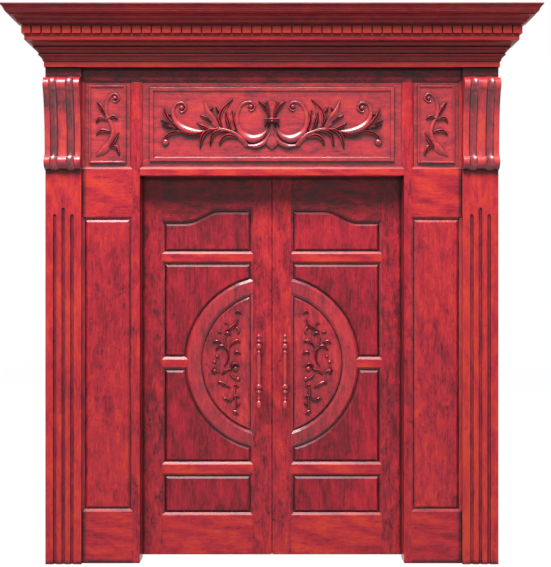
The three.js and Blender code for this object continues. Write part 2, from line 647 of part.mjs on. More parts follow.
// across the front: raised bands at both sides and in the middle, with a rounded hollow between them
const corbelAcross = [
  [-pilasterWidth / 2, 0], ...[-1, 1].flatMap((side) => [-1, -0.6, 0, 0.6, 1].map((t) => [
    side * gougeOffset + t * gougeHalf, gougeDepth * (1 - t * t) ** 0.7])), [pilasterWidth / 2, 0],
];
const corbelSections = corbelFront().getPoints(corbelSteps)
  .filter((p, i, all) => i === 0 || p.distanceTo(all[i - 1]) > 1)
  .map((p, i, all) => {
    const way = all[Math.min(i + 1, all.length - 1)].clone().sub(all[Math.max(i - 1, 0)]).normalize();
    const sink = Math.min(1, p.x / topRollProud); // the hollows die out where the front meets its back
    return [
      ...corbelAcross.map(([x, hollow]) => new THREE.Vector3(
        corbelMiddle + x, pilasterFront - p.x - way.y * hollow * sink, p.y + (way.x * hollow * sink) / 2)),
      new THREE.Vector3(corbelMiddle + pilasterWidth / 2, pilasterFront, p.y),
      new THREE.Vector3(corbelMiddle - pilasterWidth / 2, pilasterFront, p.y),
    ];
  })
  .reverse();
placePair('corbel', skin(corbelSections, (p) => new THREE.Vector2(p.x, p.y)), 'stileWood');

// ---------------------------------------------------------------- frieze panels
// a planted slab, whose rim stands around a sunk field; margins are counted from the panel's outline
const slabShape = {
  long: { marginX: 54, marginZ: 42, rim: 27 },
  small: { marginX: 37, marginZ: 31, rim: 16 },
};
const slabRise = 13;
const fieldSink = 7;
const rimSlope = 7; // width of the rim's inner slope
const carvingLift = 6; // carving above the middle of the panel
const slabEase = 4; // softened outer edge
const friezeBoard = grooveWidth(casingThickness) - 2 * fit;
const friezeGround = casingFront / 2 - friezeBoard / 2;
const slabFace = friezeGround - slabRise;
const friezePanel = (outline, [x0, x1, z0, z1], { marginX, marginZ, rim }) => {
  const tongue = outline(chamferWidth - tongueReach);
  const slab = rectangle(x0 + marginX, x1 - marginX, z0 + marginZ, z1 - marginZ);
  return cut(join(
    loft([{ outline: tongue, y: friezeGround + friezeBoard }, { outline: tongue, y: friezeGround }]),
    loft([{ outline: slab(0), y: friezeGround + over }, { outline: slab(0), y: slabFace + slabEase },
      { outline: slab(slabEase), y: slabFace }]),
  ), loft([
    { outline: slab(rim), y: slabFace + fieldSink },
    { outline: slab(rim - rimSlope), y: slabFace - over },
  ]));
};
// left half of the long panel: a sheaf in the middle, a pair of C-scrolls, acanthus and a smaller scroll
const longScrollwork = {
  relief: 17,
  fullness: 1.25,
  broad: 12,
  bosses: [[-117, 93, 9], [-504, 87, 10], [-595, -107, 14]],
  strokes: [
    [[-132, 84, 3], [-115, 71, 5], [-96, 92, 6], [-119, 117, 7], [-162, 107, 8], [-190, 62, 9], [-196, 14, 10],
      [-181, -38, 14], [-150, -72, 19], [-105, -88, 21], [-62, -74, 16], [-30, -38, 3]],
    [[-138, -122, 8], [-86, -126, 14], [-40, -101, 14], [-17, -62, 8], [-2, -30, 2]],
    [[0, 10, 6], [0, 77, 7], [0, 122, 17]],
    [[-5, 17, 4], [-12, 72, 6], [-29, 118, 11]],
    [[-12, 17, 5], [-26, 62, 7], [-48, 97, 8], [-74, 122, 3]],
    [[-40, 17, 12], [0, 17, 12]],
    [[-24, 8, 9], [-41, -19, 3]],
    [[-10, 4, 8], [-22, -26, 3]],
    [[0, -19, 4], [0, -67, 12], [0, -115, 31], [0, -147, 3]],
    [[-139, -126, 12], [-172, -88, 13], [-216, -56, 11], [-288, -34, 9], [-352, -37, 4]],
    [[-187, -84, 6], [-240, -69, 12], [-277, -88, 10], [-292, -124, 3]],
    [[-240, -52, 5], [-292, -44, 11], [-332, -68, 10], [-344, -128, 3]],
    [[-307, -38, 5], [-355, -42, 11], [-389, -78, 11], [-401, -140, 3]],
    [[-292, -27, 5], [-326, 24, 13], [-360, 72, 12], [-379, 123, 2]],
    [[-334, 2, 4], [-369, 29, 8], [-400, 44, 2]],
    [[-350, 66, 5], [-338, 76, 8], [-329, 88, 2]],
    [[-278, -24, 5], [-290, 29, 12], [-270, 82, 11], [-220, 132, 2]],
    [[-282, 46, 4], [-304, 70, 7], [-313, 92, 2]],
    [[-230, -38, 6], [-244, 14, 11], [-258, 62, 3]],
    [[-196, -43, 6], [-213, 10, 11], [-222, 74, 3]],
    [[-352, -34, 6], [-389, -18, 9], [-418, 4, 2]],
    [[-518, 79, 3], [-502, 63, 5], [-480, 85, 6], [-499, 113, 7], [-536, 103, 7], [-553, 62, 9],
      [-538, 14, 13], [-499, -25, 18], [-441, -45, 17], [-379, -42, 4]],
    [[-550, -10, 3], [-509, -50, 7], [-446, -71, 8], [-382, -66, 5]],
    [[-523, -34, 5], [-562, 5, 12], [-590, 43, 12], [-602, 82, 2]],
    [[-566, -8, 3], [-595, 5, 8], [-620, 18, 2]],
    [[-552, -26, 3], [-586, -22, 7], [-615, -8, 2]],
    [[-588, 36, 4], [-574, 46, 6], [-560, 48, 2]],
    [[-451, -68, 5], [-514, -50, 9], [-562, -55, 10], [-592, -76, 9], [-606, -104, 4]],
  ],
};
// left small panel: one scroll that ends in a broad leaf, with hooked leaves on both sides
const smallScrollwork = {
  relief: 15,
  fullness: 1.4,
  broad: 12,
  bosses: [[43, 141, 9]],
  strokes: [
    [[30, 130, 3], [43, 119, 4], [65, 141, 5], [43, 164, 5], [14, 149, 6], [-6, 105, 7], [-4, 50, 8],
      [20, 0, 8], [32, -50, 9], [16, -105, 12], [-17, -149, 16], [-62, -181, 4]],
    [[-10, 45, 4], [-32, 85, 10], [-59, 121, 2]],
    [[-2, 18, 5], [-42, 30, 9], [-62, 2, 3]],
    [[0, 22, 4], [30, 38, 8], [57, 22, 3]],
    [[20, -50, 5], [-32, -42, 9], [-62, -65, 3]],
    [[3, -139, 4], [38, -100, 9], [63, -52, 2]],
    [[13, -134, 4], [49, -134, 9], [67, -179, 3]],
  ],
};
const carvedGround = slabFace + fieldSink;
const carvingMiddle = (friezeBase + friezeHead) / 2 + carvingLift;
place('center_frieze_panel', join(friezePanel(longFriezeOutline, longFriezeSpan, slabShape.long),
  scrollwork(longScrollwork, 0, carvedGround, carvingMiddle, true)), 'lacquer');
placePair('frieze_panel', join(friezePanel(smallFriezeOutline, smallFriezeSpan, slabShape.small),
  scrollwork(smallScrollwork, (xPilaster + xStile) / 2, carvedGround, carvingMiddle)), 'lacquer');

// ---------------------------------------------------------------- cornice
const bandInnerReach = 60; // hollow behind the dentil band
const crownInnerReach = { low: 70, high: crownReach - corniceWall - 8 };
// Each layer is run as mouldings along the front and both ends, mitred at the corners: the solid common
// to a front run and an end run. A profile lists (projection, height) from the bottom up.
const corniceFront = pilasterFront - corniceFaceProud;
const corniceEnd = pilasterOuter + corniceSideProud;
const mitredBlock = (profile, base, back = 0) => {
  const bottom = profile[0][1];
  const top = profile.at(-1)[1];
  const front = [point(back, base + bottom), point(back, base + top),
    ...profile.toReversed().map(([reach, z]) => point(corniceFront - reach, base + z))];
  const right = profile.map(([reach, z]) => point(corniceEnd + reach, base + z));
  const left = profile.toReversed().map(([reach, z]) => point(-corniceEnd - reach, base + z));
  const widest = corniceEnd + crownReach;
  return alongX(front.reverse(), -widest, widest)
    .intersect(alongY([...right, ...left], corniceFront - crownReach, back));
};
const cove = (from, to, steps, bulge) => {
  const points = [];
  for (let i = 0; i <= steps; i += 1) {
    const angle = (Math.PI / 2) * (i / steps);
    const across = bulge > 0 ? Math.sin(angle) : 1 - Math.cos(angle);
    const up = bulge > 0 ? 1 - Math.cos(angle) : Math.sin(angle);
    points.push([from[0] + (to[0] - from[0]) * across, from[1] + (to[1] - from[1]) * up]);
  }
  return points;
};
const bedProfile = [
  [0, 0], [0, 29], [4, 31], [4, 36], ...cove([7, 38], [21, 58], 3, -1), ...cove([24, 60], [24, 70], 1, 1),
  ...cove([26, 72], [42, 88], 3, -1), [45, 92], [45, 102], ...cove([49, 105], [80, 126], 4, -1), [85, 128],
  [85, bedHeight],
];
const bedInner = [[-corniceWall, corniceWall], [0, 90], [bandInnerReach, bedHeight + over]];
const bed = cut(mitredBlock(bedProfile, corniceBase), mitredBlock(bedInner, corniceBase, over));
place('cornice_bed_mould', bed, 'corniceWood');

const dentilBase = corniceBase + bedHeight;
const dentilBottom = dentilBandHeight - dentilHeight - 5; // leaves a 5 mm fillet above the dentils
const dentilTop = dentilBottom + dentilHeight;
const bandReach = dentilReach - dentilProud;
const dentilProfile = [[bandReach, 0], [bandReach, dentilBottom], [dentilReach, dentilBottom],
  [dentilReach, dentilTop], [dentilReach - 4, dentilTop], [dentilReach - 4, dentilBandHeight]];
const bandInner = [[bandInnerReach, -over], [bandInnerReach, dentilBandHeight + over]];
const dentilFrontY = corniceFront - dentilReach;
const dentilEndX = corniceEnd + dentilReach;
const slotsAcross = Math.round((2 * dentilEndX) / dentilPitch) - 1;
const slotsDeep = Math.round(-dentilFrontY / dentilPitch);
const slotZ = [dentilBase + dentilBottom - over, dentilBase + dentilTop];
const slots = [];
for (let i = 1; i <= slotsAcross; i += 1) {
  const x = -dentilEndX + (2 * dentilEndX * i) / (slotsAcross + 1);
  const slotY = [dentilFrontY - over, dentilFrontY + dentilProud];
  slots.push(block(x - dentilSlot / 2, x + dentilSlot / 2, ...slotY, ...slotZ));
}
for (let i = 1; i <= slotsDeep; i += 1) {
  const y = dentilFrontY + dentilPitch * i;
  if (y + dentilSlot < 0) {
    for (const side of [-1, 1]) {
      const xs = [side * (dentilEndX + over), side * (dentilEndX - dentilProud)].sort((a, b) => a - b);
      slots.push(block(...xs, y - dentilSlot / 2, y + dentilSlot / 2, ...slotZ));
    }
  }
}
const dentilBand = cut(mitredBlock(dentilProfile, dentilBase), mitredBlock(bandInner, dentilBase, over));
place('dentil_band', cut(dentilBand, ...slots), 'corniceWood');

const crownBase = dentilBase + dentilBandHeight;
const crownProfile = [
  [dentilReach + 4, 0], [dentilReach + 4, 6], ...cove([dentilReach + 6, 7], [121, 22], 3, 1), [126, 26],
  ...cove([126, 26], [150, 42], 3, -1), [155, 46], ...cove([157, 47], [172, 62], 3, 1), [172, 68],
  ...cove([174, 69], [crownReach - 3, 84], 3, -1), [crownReach, crownHeight - 6], [crownReach, crownHeight],
];
const crownHollow = (height) => THREE.MathUtils.mapLinear(
  height, 0, crownHeight, crownInnerReach.low, crownInnerReach.high);
const crownInner = [-over, crownHeight + over].map((height) => [crownHollow(height), height]);
place('cornice_crown', cut(mitredBlock(crownProfile, crownBase), mitredBlock(crownInner, crownBase, over)),
  'corniceWood');
const boardProfile = [crownHeight - topBoard, crownHeight]
  .map((height) => [crownHollow(height) - fit, height]);
place('cornice_top_board', mitredBlock(boardProfile, crownBase), 'corniceWood');

const rearmost = pinY + knuckleRadius;
const frontmost = corniceFront - crownReach;
door.position.y = -(rearmost + frontmost) / 2;

export default door;
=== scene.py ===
# A carved double entrance door in its frame: two panelled leaves, a casing with fluted pilasters and scroll
# corbels, a carved frieze and a dentilled cornice, all in hardwood under a clear red lacquer.
import math

import bmesh
import bpy
from mathutils import Matrix, Vector


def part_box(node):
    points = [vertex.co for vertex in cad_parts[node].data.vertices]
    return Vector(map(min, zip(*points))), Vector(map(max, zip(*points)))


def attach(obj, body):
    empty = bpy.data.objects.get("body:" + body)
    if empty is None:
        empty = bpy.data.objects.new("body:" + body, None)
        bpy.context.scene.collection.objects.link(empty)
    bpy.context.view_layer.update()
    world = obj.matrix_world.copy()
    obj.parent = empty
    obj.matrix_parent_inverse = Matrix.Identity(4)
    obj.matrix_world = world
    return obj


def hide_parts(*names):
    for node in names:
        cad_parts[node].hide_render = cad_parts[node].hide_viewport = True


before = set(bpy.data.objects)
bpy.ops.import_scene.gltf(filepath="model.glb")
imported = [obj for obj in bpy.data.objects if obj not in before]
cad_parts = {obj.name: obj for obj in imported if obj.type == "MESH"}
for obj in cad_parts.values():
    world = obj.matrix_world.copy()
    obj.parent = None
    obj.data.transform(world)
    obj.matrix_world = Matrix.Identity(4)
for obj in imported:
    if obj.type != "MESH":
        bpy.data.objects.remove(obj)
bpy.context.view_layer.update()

# ---------------------------------------------------------------- where the door stands
# The casing is planted on the wall's outer face, and the cornice reaches furthest out from it. The viewer
# stands five metres back at eye height, straight in front of the doorway.
wall_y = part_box("left_casing_stile")[1].y
pilaster_face_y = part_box("left_pilaster")[0].y
eye_height = 1.562
viewing_distance = 5.0
lens_mm = 58.75
film_mm = 36.0
sideways = 0.02

camera = bpy.data.objects.new("camera", bpy.data.cameras.new("camera"))
camera.location = (sideways, pilaster_face_y - viewing_distance, eye_height)
camera.rotation_euler = (math.pi / 2, 0, 0)
camera.data.lens = lens_mm
camera.data.sensor_width = film_mm
camera.data.sensor_fit = "HORIZONTAL"
bpy.context.scene.collection.objects.link(camera)
bpy.context.scene.camera = camera
bpy.context.scene.view_settings.view_transform = "Standard"

# ---------------------------------------------------------------- floor, daylight and surroundings
# A pale floor without a joint and a white surround. A softbox and a long strip hang high in front of the
# door, so that each moulding throws its shadow downwards. Weak lamps fill in from both sides and from behind.


class Wire:
    """The output of one node. Sums with numbers and other wires add Math nodes."""

    def __init__(self, graph, socket):
        self.graph = graph
        self.socket = socket

    def __add__(self, other):
        return self.graph.maths("ADD", self, other)

    __radd__ = __add__

    def __sub__(self, other):
        return self.graph.maths("SUBTRACT", self, other)

    def __rsub__(self, other):
        return self.graph.maths("SUBTRACT", other, self)

    def __mul__(self, other):
        return self.graph.maths("MULTIPLY", self, other)

    def __pow__(self, other):
        return self.graph.maths("POWER", self, other)


class Graph:
    """A node tree, and the only way nodes are added to it."""

    family = "ShaderNode"

    def __init__(self, tree):
        self.tree = tree

    def node(self, kind, settings=None, inputs=None, output=0):
        """Adds a node: its settings first, then the values or wires of its sockets."""
        made = self.tree.nodes.new(kind if "Node" in kind else self.family + kind)
        for name, value in (settings or {}).items():
            if name == "stops":
                while len(made.color_ramp.elements) < len(value):
                    made.color_ramp.elements.new(0.5)
                for element, (position, colour) in zip(made.color_ramp.elements, value):
                    element.position = position
                    element.color = (*colour, 1) if len(colour) == 3 else colour
            else:
                setattr(made, name, value)
        for name, value in (inputs or {}).items():
            self.feed(made.inputs[name], value)
        return Wire(self, made.outputs[output])

    def maths(self, operation, first, second=0.0):
        return self.node("ShaderNodeMath", {"operation": operation}, {0: first, 1: second})

    def split(self, vector):
        """The x, y and z of a vector."""
        return [self.node("ShaderNodeSeparateXYZ", None, {0: vector}, axis) for axis in range(3)]

    def looked_at(self):
        """1 for rays that come from the camera, from lacquer or metal, or through glass."""
        kinds = ("Camera", "Glossy", "Transmission")
        rays = [self.node("LightPath", output=f"Is {kind} Ray") for kind in kinds]
        return self.maths("MINIMUM", rays[0] + rays[1] + rays[2], 1.0)

    def feed(self, socket, value):
        if isinstance(value, Wire):
            self.tree.links.new(value.socket, socket)
        else:
            socket.default_value = value


class Finish(Graph):
    """One material."""

    def __init__(self, name):
        self.material = bpy.data.materials.new(name)
        self.material.use_nodes = True
        super().__init__(self.material.node_tree)
        self.shader = self.tree.nodes["Principled BSDF"]

    def surface(self, **inputs):
        for name, value in inputs.items():
            self.feed(self.shader.inputs[name.replace("_", " ")], value)

    def steps(self, value, low, high):
        """0 below low, 1 above high and smooth between them."""
        return self.node("MapRange", {"interpolation_type": "SMOOTHSTEP"}, {0: value, 1: low, 2: high})

    def noise(self, place, detail, roughness=0.5, distortion=0.0, scale=1.0):
        return self.node("TexNoise", None, {
            "Vector": place, "Scale": scale, "Detail": detail, "Roughness": roughness,
            "Distortion": distortion})


light_floor = Finish("pale_floor")
lit = light_floor.node("BsdfDiffuse", None, {"Color": (0.2, 0.2, 0.2, 1)})
plain = light_floor.node("Emission", None, {"Color": (1, 1, 1, 1), "Strength": 1.3})
kept_shadow = 0.25
mixed = light_floor.node("MixShader", None, {
    0: light_floor.looked_at() * (1 - kept_shadow), 1: lit, 2: plain})
light_floor.tree.links.new(mixed.socket, light_floor.tree.nodes["Material Output"].inputs["Surface"])

floor_reach, floor_z = 12.0, -0.001
floor_mesh = bpy.data.meshes.new("floor")
floor_mesh.from_pydata(
    [(x * floor_reach, y * floor_reach, floor_z) for x, y in ((-1, -1), (1, -1), (1, 1), (-1, 1))],
    [], [(0, 1, 2, 3)])
floor_mesh.materials.append(light_floor.material)
floor = bpy.data.objects.new("floor", floor_mesh)
bpy.context.scene.collection.objects.link(floor)

world = bpy.data.worlds.new("surroundings")
bpy.context.scene.world = world
world.use_nodes = True
sky = Graph(world.node_tree)
soft_daylight = sky.node("Background", None, {"Color": (1, 1, 1, 1), "Strength": 0.04})
white = sky.node("Background", None, {"Color": (1, 1, 1, 1), "Strength": 1.0})
seen = sky.node("MixShader", None, {0: sky.looked_at(), 1: soft_daylight, 2: white})
sky.tree.links.new(seen.socket, sky.tree.nodes["World Output"].inputs["Surface"])


def lamp(name, place, size, watts, aim=1.3):
    """A rectangular lamp, turned to the door's middle at the height aim."""
    data = bpy.data.lights.new(name, "AREA")
    data.shape = "RECTANGLE"
    data.size, data.size_y = size
    data.energy = watts
    obj = bpy.data.objects.new(name, data)
    obj.location = place
    reach = [b - a for a, b in zip(place, (0, 0, aim))]
    across = math.hypot(reach[0], reach[1])
    obj.rotation_euler = (math.atan2(across, -reach[2]), 0, math.atan2(reach[1], reach[0]) - math.pi / 2)
    bpy.context.scene.collection.objects.link(obj)


lamp("softbox", (-0.9, -4.4, 9.0), (4.6, 3.0), 1340)
lamp("overhead_strip", (0, -3.9, 10.6), (7.0, 1.5), 230)
lamp("left_fill", (-6.0, -4.6, 1.6), (2.0, 2.4), 24)
lamp("back_fill", (1.5, 6.0, 5.0), (4.0, 3.0), 240, aim=1.4)
lamp("right_fill", (5.6, -3.6, 1.6), (1.6, 2.4), 10)

# ---------------------------------------------------------------- lacquered boards
# Every board is open-grained hardwood, stained and sprayed with clear red lacquer. The stain sits unevenly:
# it gathers in the pores and along the figure, and leaves the boards between dark crimson and orange-red.
stain_tones = [
    (0.05, (0.038, 0.004, 0.006)), (0.30, (0.17, 0.009, 0.017)), (0.52, (0.375, 0.015, 0.032)),
    (0.70, (0.505, 0.024, 0.033)), (0.95, (0.63, 0.048, 0.028)),
]
painted_shade_depth = 0.36  # how much painted shade darkens the stain above a set height and where the attribute hollow is 1
soft_edge = 0.012


def lacquered(name, along, tone, mottle=1.0, figure=1.0, offset=(0, 0, 0), gloss=0.3,
              corner_shade_depth=0.72, reach=0.018, shine=(0.25, 0.2), shaded_above=None):
    """Lacquered wood whose grain runs along "x", "y" or "z". tone is where the stain sits on average from
    dark 0 to orange-red 1, mottle how blotchy it is, and figure how plainly the growth rings show. offset
    moves the figure within the board. gloss is the roughness of the wood, and shine the weight and the
    roughness of the clear coat. glaze is how much painted shade darkens the corners, up to reach metres
    from them. Above the height shaded_above, painted shade darkens the flats too, as it does where the
    attribute "hollow" is 1."""
    wood = Finish(name)
    place = wood.node("TexCoord", output=3)

    def stretched(across, lengthwise):
        scale = [lengthwise if axis == along else across for axis in "xyz"]
        return wood.node("Mapping", None, {"Vector": place, "Location": offset, "Scale": scale})

    clouds = wood.noise(stretched(20, 10), 5, 0.72, 0.6) - 0.5
    flecks = wood.steps(wood.noise(stretched(84, 40), 4, 0.72, 0.3), 0.53, 0.72)
    streaks = wood.noise(stretched(46, 5), 3, 0.6, 0.3) - 0.5
    lines = wood.noise(stretched(190, 12), 3, 0.55, 0.2) - 0.5
    drift = wood.noise(stretched(2.6, 1.3), 2) - 0.5
    pores = wood.steps(wood.noise(stretched(520, 34), 2), 0.55, 0.7)
    rings = wood.node(
        "TexWave", {"wave_type": "BANDS", "bands_direction": "DIAGONAL", "wave_profile": "SIN"},
        {"Vector": stretched(5, 1.6), "Scale": 1.0, "Distortion": 11.0, "Detail": 3.0, "Detail Scale": 0.7,
         "Detail Roughness": 0.62}, 1) - 0.5
    # painted shade: ambient occlusion darkens the stain in the quirks and corners, where shade falls
    corner_shade_mask = 1 - wood.node("AmbientOcclusion", {"samples": 4}, {"Distance": reach}, 1)
    # painted shade on the flats above a set height, and wherever the attribute "hollow" is set
    hollow = wood.node("Attribute", {"attribute_name": "hollow"}, output=2)
    if shaded_above:
        height = wood.split(place)[2]
        tone -= wood.steps(height, shaded_above - soft_edge, shaded_above + soft_edge) * painted_shade_depth
    # the wood's stain and figure, darkened by the painted shade in its corners and on marked parts
    stain = (
        tone - wood.steps(corner_shade_mask, 0.04, 0.45) * corner_shade_depth - hollow ** 0.5 * painted_shade_depth
        + clouds * (1.5 * mottle) - flecks * (0.4 * mottle) + streaks * (0.45 * mottle)
        + lines * 0.55 + drift * 0.6 + rings * (0.08 * figure) - pores * 0.1
    )
    wood.surface(
        Base_Color=wood.node("ValToRGB", {"stops": stain_tones}, {"Fac": stain}),
        Roughness=gloss + flecks * 0.08,
        Specular_IOR_Level=0.2,
        Coat_Weight=shine[0], Coat_Roughness=shine[1],
        Normal=wood.node("Bump", None, {"Strength": 0.3, "Distance": 0.0006, "Height": stain}),
    )
    return wood.material


# every wood darkens its own corners as painted shade; the bed mould's is the darkest
woods = {
    "panel": lacquered("panel_wood", "z", 0.475, 0.6, 1.0, (0.3, 0, 0.1), 0.4, 0.6, 0.025, (0.25, 0.36)),
    "side_panel": lacquered("side_panel_wood", "z", 0.61, 0.85, 0.6, (1.3, 0, 0.7)),
    "stile": lacquered("stile_wood", "z", 0.62, 0.9, offset=(0.7, 0.2, 0.4)),
    "hinge_stile": lacquered("hinge_stile_wood", "z", 0.50, 1.0, offset=(0.4, 1.2, 0.6)),
    "meeting_stile": lacquered("meeting_stile_wood", "z", 0.60, 1.0, offset=(1.7, 0.6, 0.3)),
    # the top rails are stained darker as painted shade, for the shade under the door head and the cornice
    "top_rail": lacquered("top_rail_wood", "x", 0.38, 0.9, offset=(0.5, 0.1, 1.9)),
    "rail": lacquered("rail_wood", "x", 0.74, 0.7, 3.0, (0.1, 0.5, 0.9), 0.34, 1.0, 0.03, (0.25, 0.26)),
    # the pilasters are darkened above the corbels' tops as painted shadow, where the cornice's shadow falls
    "pilaster": lacquered("pilaster_wood", "z", 0.77, 0.7, 1.0, (2.1, 0.4, 1.4), 0.3, 0.85, 0.03,
                          shaded_above=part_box("left_corbel")[1].z),
    "cornice": lacquered("cornice_wood", "x", 0.71, 0.6, 0.5, (0.6, 0.9, 0.2), 0.38),
    "bed": lacquered("bed_mould_wood", "x", 0.76, 0.5, 0.5, (1.1, 0.7, 1.9), 0.3, 1.9, 0.034),
    # the dentils are stained lighter than the rest of the cornice as painted light, for the light falling on
    # them
    "dentil": lacquered("dentil_wood", "x", 0.89, 0.5, 0.5, (1.9, 0.2, 0.9), 0.34, 0.6, 0.012),
    "corbel": lacquered("corbel_wood", "z", 0.72, 0.9, 1.0, (0.2, 1.4, 0.8), 0.36, 0.9, 0.05, (1.0, 0.27)),
    "frieze": lacquered("frieze_wood", "x", 0.635, 0.8, 1.0, (1.6, 0.3, 1.2), 0.3, 0.62, 0.03, (0.9, 0.2)),
    "ring": lacquered("ring_wood", "z", 0.57, 0.7, 1.0, (0.9, 0.3, 0.5), 0.34, 0.55, 0.02, (0.7, 0.24)),
    "moon": lacquered("moon_wood", "z", 0.575, 0.9, 1.0, (0.8, 0.7, 0.2), 0.3, 0.5, 0.011, (0.5, 0.14)),
    "pull": lacquered("pull_wood", "z", 0.72, 0.6, 1.0, (0, 0, 0), 0.3, 1.3, 0.014, (1.0, 0.25)),
}
brass = Finish("hinge_brass")
brass.surface(Base_Color=(0.62, 0.46, 0.22, 1), Metallic=1.0, Roughness=0.3)


# which wood a board is, by the end of its name; the first that fits counts
board_woods = {
    "side_panel": "side_panel", "frieze_panel": "frieze", "panel": "panel", "hinge_stile": "hinge_stile",
    "meeting_stile": "meeting_stile", "side_top_rail": "rail", "top_rail": "top_rail", "rail": "rail",
    "head_jamb": "rail", "half_ring": "ring", "pilaster": "pilaster", "corbel": "pilaster", "pull": "pull",
    "top_board": "cornice", "bed_mould": "cornice", "crown": "cornice", "": "stile",
}

# ---------------------------------------------------------------- eased edges
# The joiner breaks every sharp arris before spraying, and curved work is sanded smooth. Each board gets the
# same small round on its edges, and shades smoothly across facets that belong to one curve.
arris = 0.0012
smooth_under = math.radians(32)

smoothing = Graph(bpy.data.node_groups.new("smooth_curved_work", "GeometryNodeTree"))
smoothing.family = "GeometryNode"
for way in ("INPUT", "OUTPUT"):
    smoothing.tree.interface.new_socket("Geometry", in_out=way, socket_type="NodeSocketGeometry")
shallow = smoothing.node("FunctionNodeCompare", {"operation": "LESS_THAN"}, {
    0: smoothing.node("InputMeshEdgeAngle"), 1: smooth_under})
smooth_faces = smoothing.node("SetShadeSmooth", {"domain": "FACE"}, {
    "Geometry": smoothing.node("NodeGroupInput")})
smooth_edges = smoothing.node("SetShadeSmooth", {"domain": "EDGE"}, {
    "Geometry": smooth_faces, "Shade Smooth": shallow})
smoothing.tree.links.new(smooth_edges.socket, smoothing.tree.nodes.new("NodeGroupOutput").inputs[0])


def ease(obj, width=arris):
    """Breaks the arrises by width, and smooths what is curved."""
    weld = obj.modifiers.new("weld", "WELD")
    weld.merge_threshold = 0.00002
    if width:
        bevel = obj.modifiers.new("eased_edges", "BEVEL")
        bevel.width = width
        bevel.segments = 2
        bevel.limit_method = "ANGLE"
        bevel.angle_limit = math.radians(28)
    obj.modifiers.new("smooth", "NODES").node_group = smoothing.tree
    obj.modifiers.new("keep_flats_flat", "WEIGHTED_NORMAL").keep_sharp = True


for name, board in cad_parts.items():
    board.data.materials.clear()
    if name.endswith("_hinge"):
        board.data.materials.append(brass.material)
        continue
    wood = next(wood for ending, wood in board_woods.items() if name.endswith(ending))
    board.data.materials.append(woods[wood])
    ease(board)

# ---------------------------------------------------------------- carved frieze panels
# Three boards in the frieze each carry a planted slab with a sunk field. The relief in the field is cut with
# gouges: long hollowed scrolls, acanthus leaves with a vein down the middle, and round eyes in the volutes.
MM = 0.001
ground_proud, board_thick, slab_thick, field_sunk = 0.0332, 0.0214, 0.013, 0.007
groove = 0.007  # how far the board's tongue goes into the rails and stiles
frieze_ground = wall_y - ground_proud
slab_face = frieze_ground - slab_thick
sunk_field = slab_face + field_sunk
board_back = frieze_ground + board_thick
board_high, carving_lift = 0.486, 0.006
carving_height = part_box("center_frieze_panel")[0].z + board_high / 2 + carving_lift


class Recipe(Graph):
    """A Geometry Nodes tree that starts from a drawn mesh and has its sizes as named inputs."""

    family = "GeometryNode"

    def __init__(self, name, **sizes):
        super().__init__(bpy.data.node_groups.new(name, "GeometryNodeTree"))
        sockets = self.tree.interface
        sockets.new_socket("Geometry", in_out="OUTPUT", socket_type="NodeSocketGeometry")
        sockets.new_socket("Geometry", in_out="INPUT", socket_type="NodeSocketGeometry")
        self.keys = {}
        for label, value in sizes.items():
            kind = "Int" if isinstance(value, int) else "Float"
            made = sockets.new_socket(label, in_out="INPUT", socket_type="NodeSocket" + kind)
            made.default_value = value
            self.keys[label] = made.identifier
        self.keys["finish"] = sockets.new_socket(
            "finish", in_out="INPUT", socket_type="NodeSocketMaterial").identifier
        entry = self.tree.nodes.new("NodeGroupInput")
        self.start = Wire(self, entry.outputs[0])
        self.size = {label: Wire(self, entry.outputs[label]) for label in self.keys}

    def drawn(self, name):
        """A number that was stored on the drawn mesh."""
        return self.node("InputNamedAttribute", {"data_type": "FLOAT"}, {"Name": name})

    def store(self, geometry, name, value):
        return self.node("StoreNamedAttribute", {"data_type": "FLOAT", "domain": "POINT"},
                         {"Geometry": geometry, "Name": name, "Value": value})

    def triple(self, x=0.0, y=0.0, z=0.0):
        return self.node("ShaderNodeCombineXYZ", None, {0: x, 1: y, 2: z})

    def at_points(self, instance, **inputs):
        """One copy of instance at each point of the drawn mesh."""
        points = self.node("MeshToPoints", None, {"Mesh": self.start})
        return self.node("InstanceOnPoints", None, {"Points": points, "Instance": instance, **inputs})

    def end(self, *parts):
        """Closes the tree: real faces, smooth shading and one finish."""
        whole = self.tree.nodes.new("GeometryNodeJoinGeometry")
        for part in parts:
            self.tree.links.new(part.socket, whole.inputs[0])
        real = self.node("RealizeInstances", None, {0: Wire(self, whole.outputs[0])})
        smooth = self.node("SetShadeSmooth", {"domain": "FACE"}, {"Geometry": real})
        coated = self.node("SetMaterial", None, {"Geometry": smooth, "Material": self.size["finish"]})
        self.tree.links.new(coated.socket, self.tree.nodes.new("NodeGroupOutput").inputs[0])

    def make(self, name, mesh, finish, **sizes):
        """Runs the tree once on a drawn mesh and keeps the plain mesh that it gives."""
        piece = bpy.data.objects.new(name, mesh)
        bpy.context.scene.collection.objects.link(piece)
        step = piece.modifiers.new("made", "NODES")
        step.node_group = self.tree
        for label, value in {**sizes, "finish": finish}.items():
            step[self.keys[label]] = value
        made = bpy.data.meshes.new_from_object(piece.evaluated_get(bpy.context.evaluated_depsgraph_get()))
        piece.modifiers.clear()
        piece.data = made
        return piece


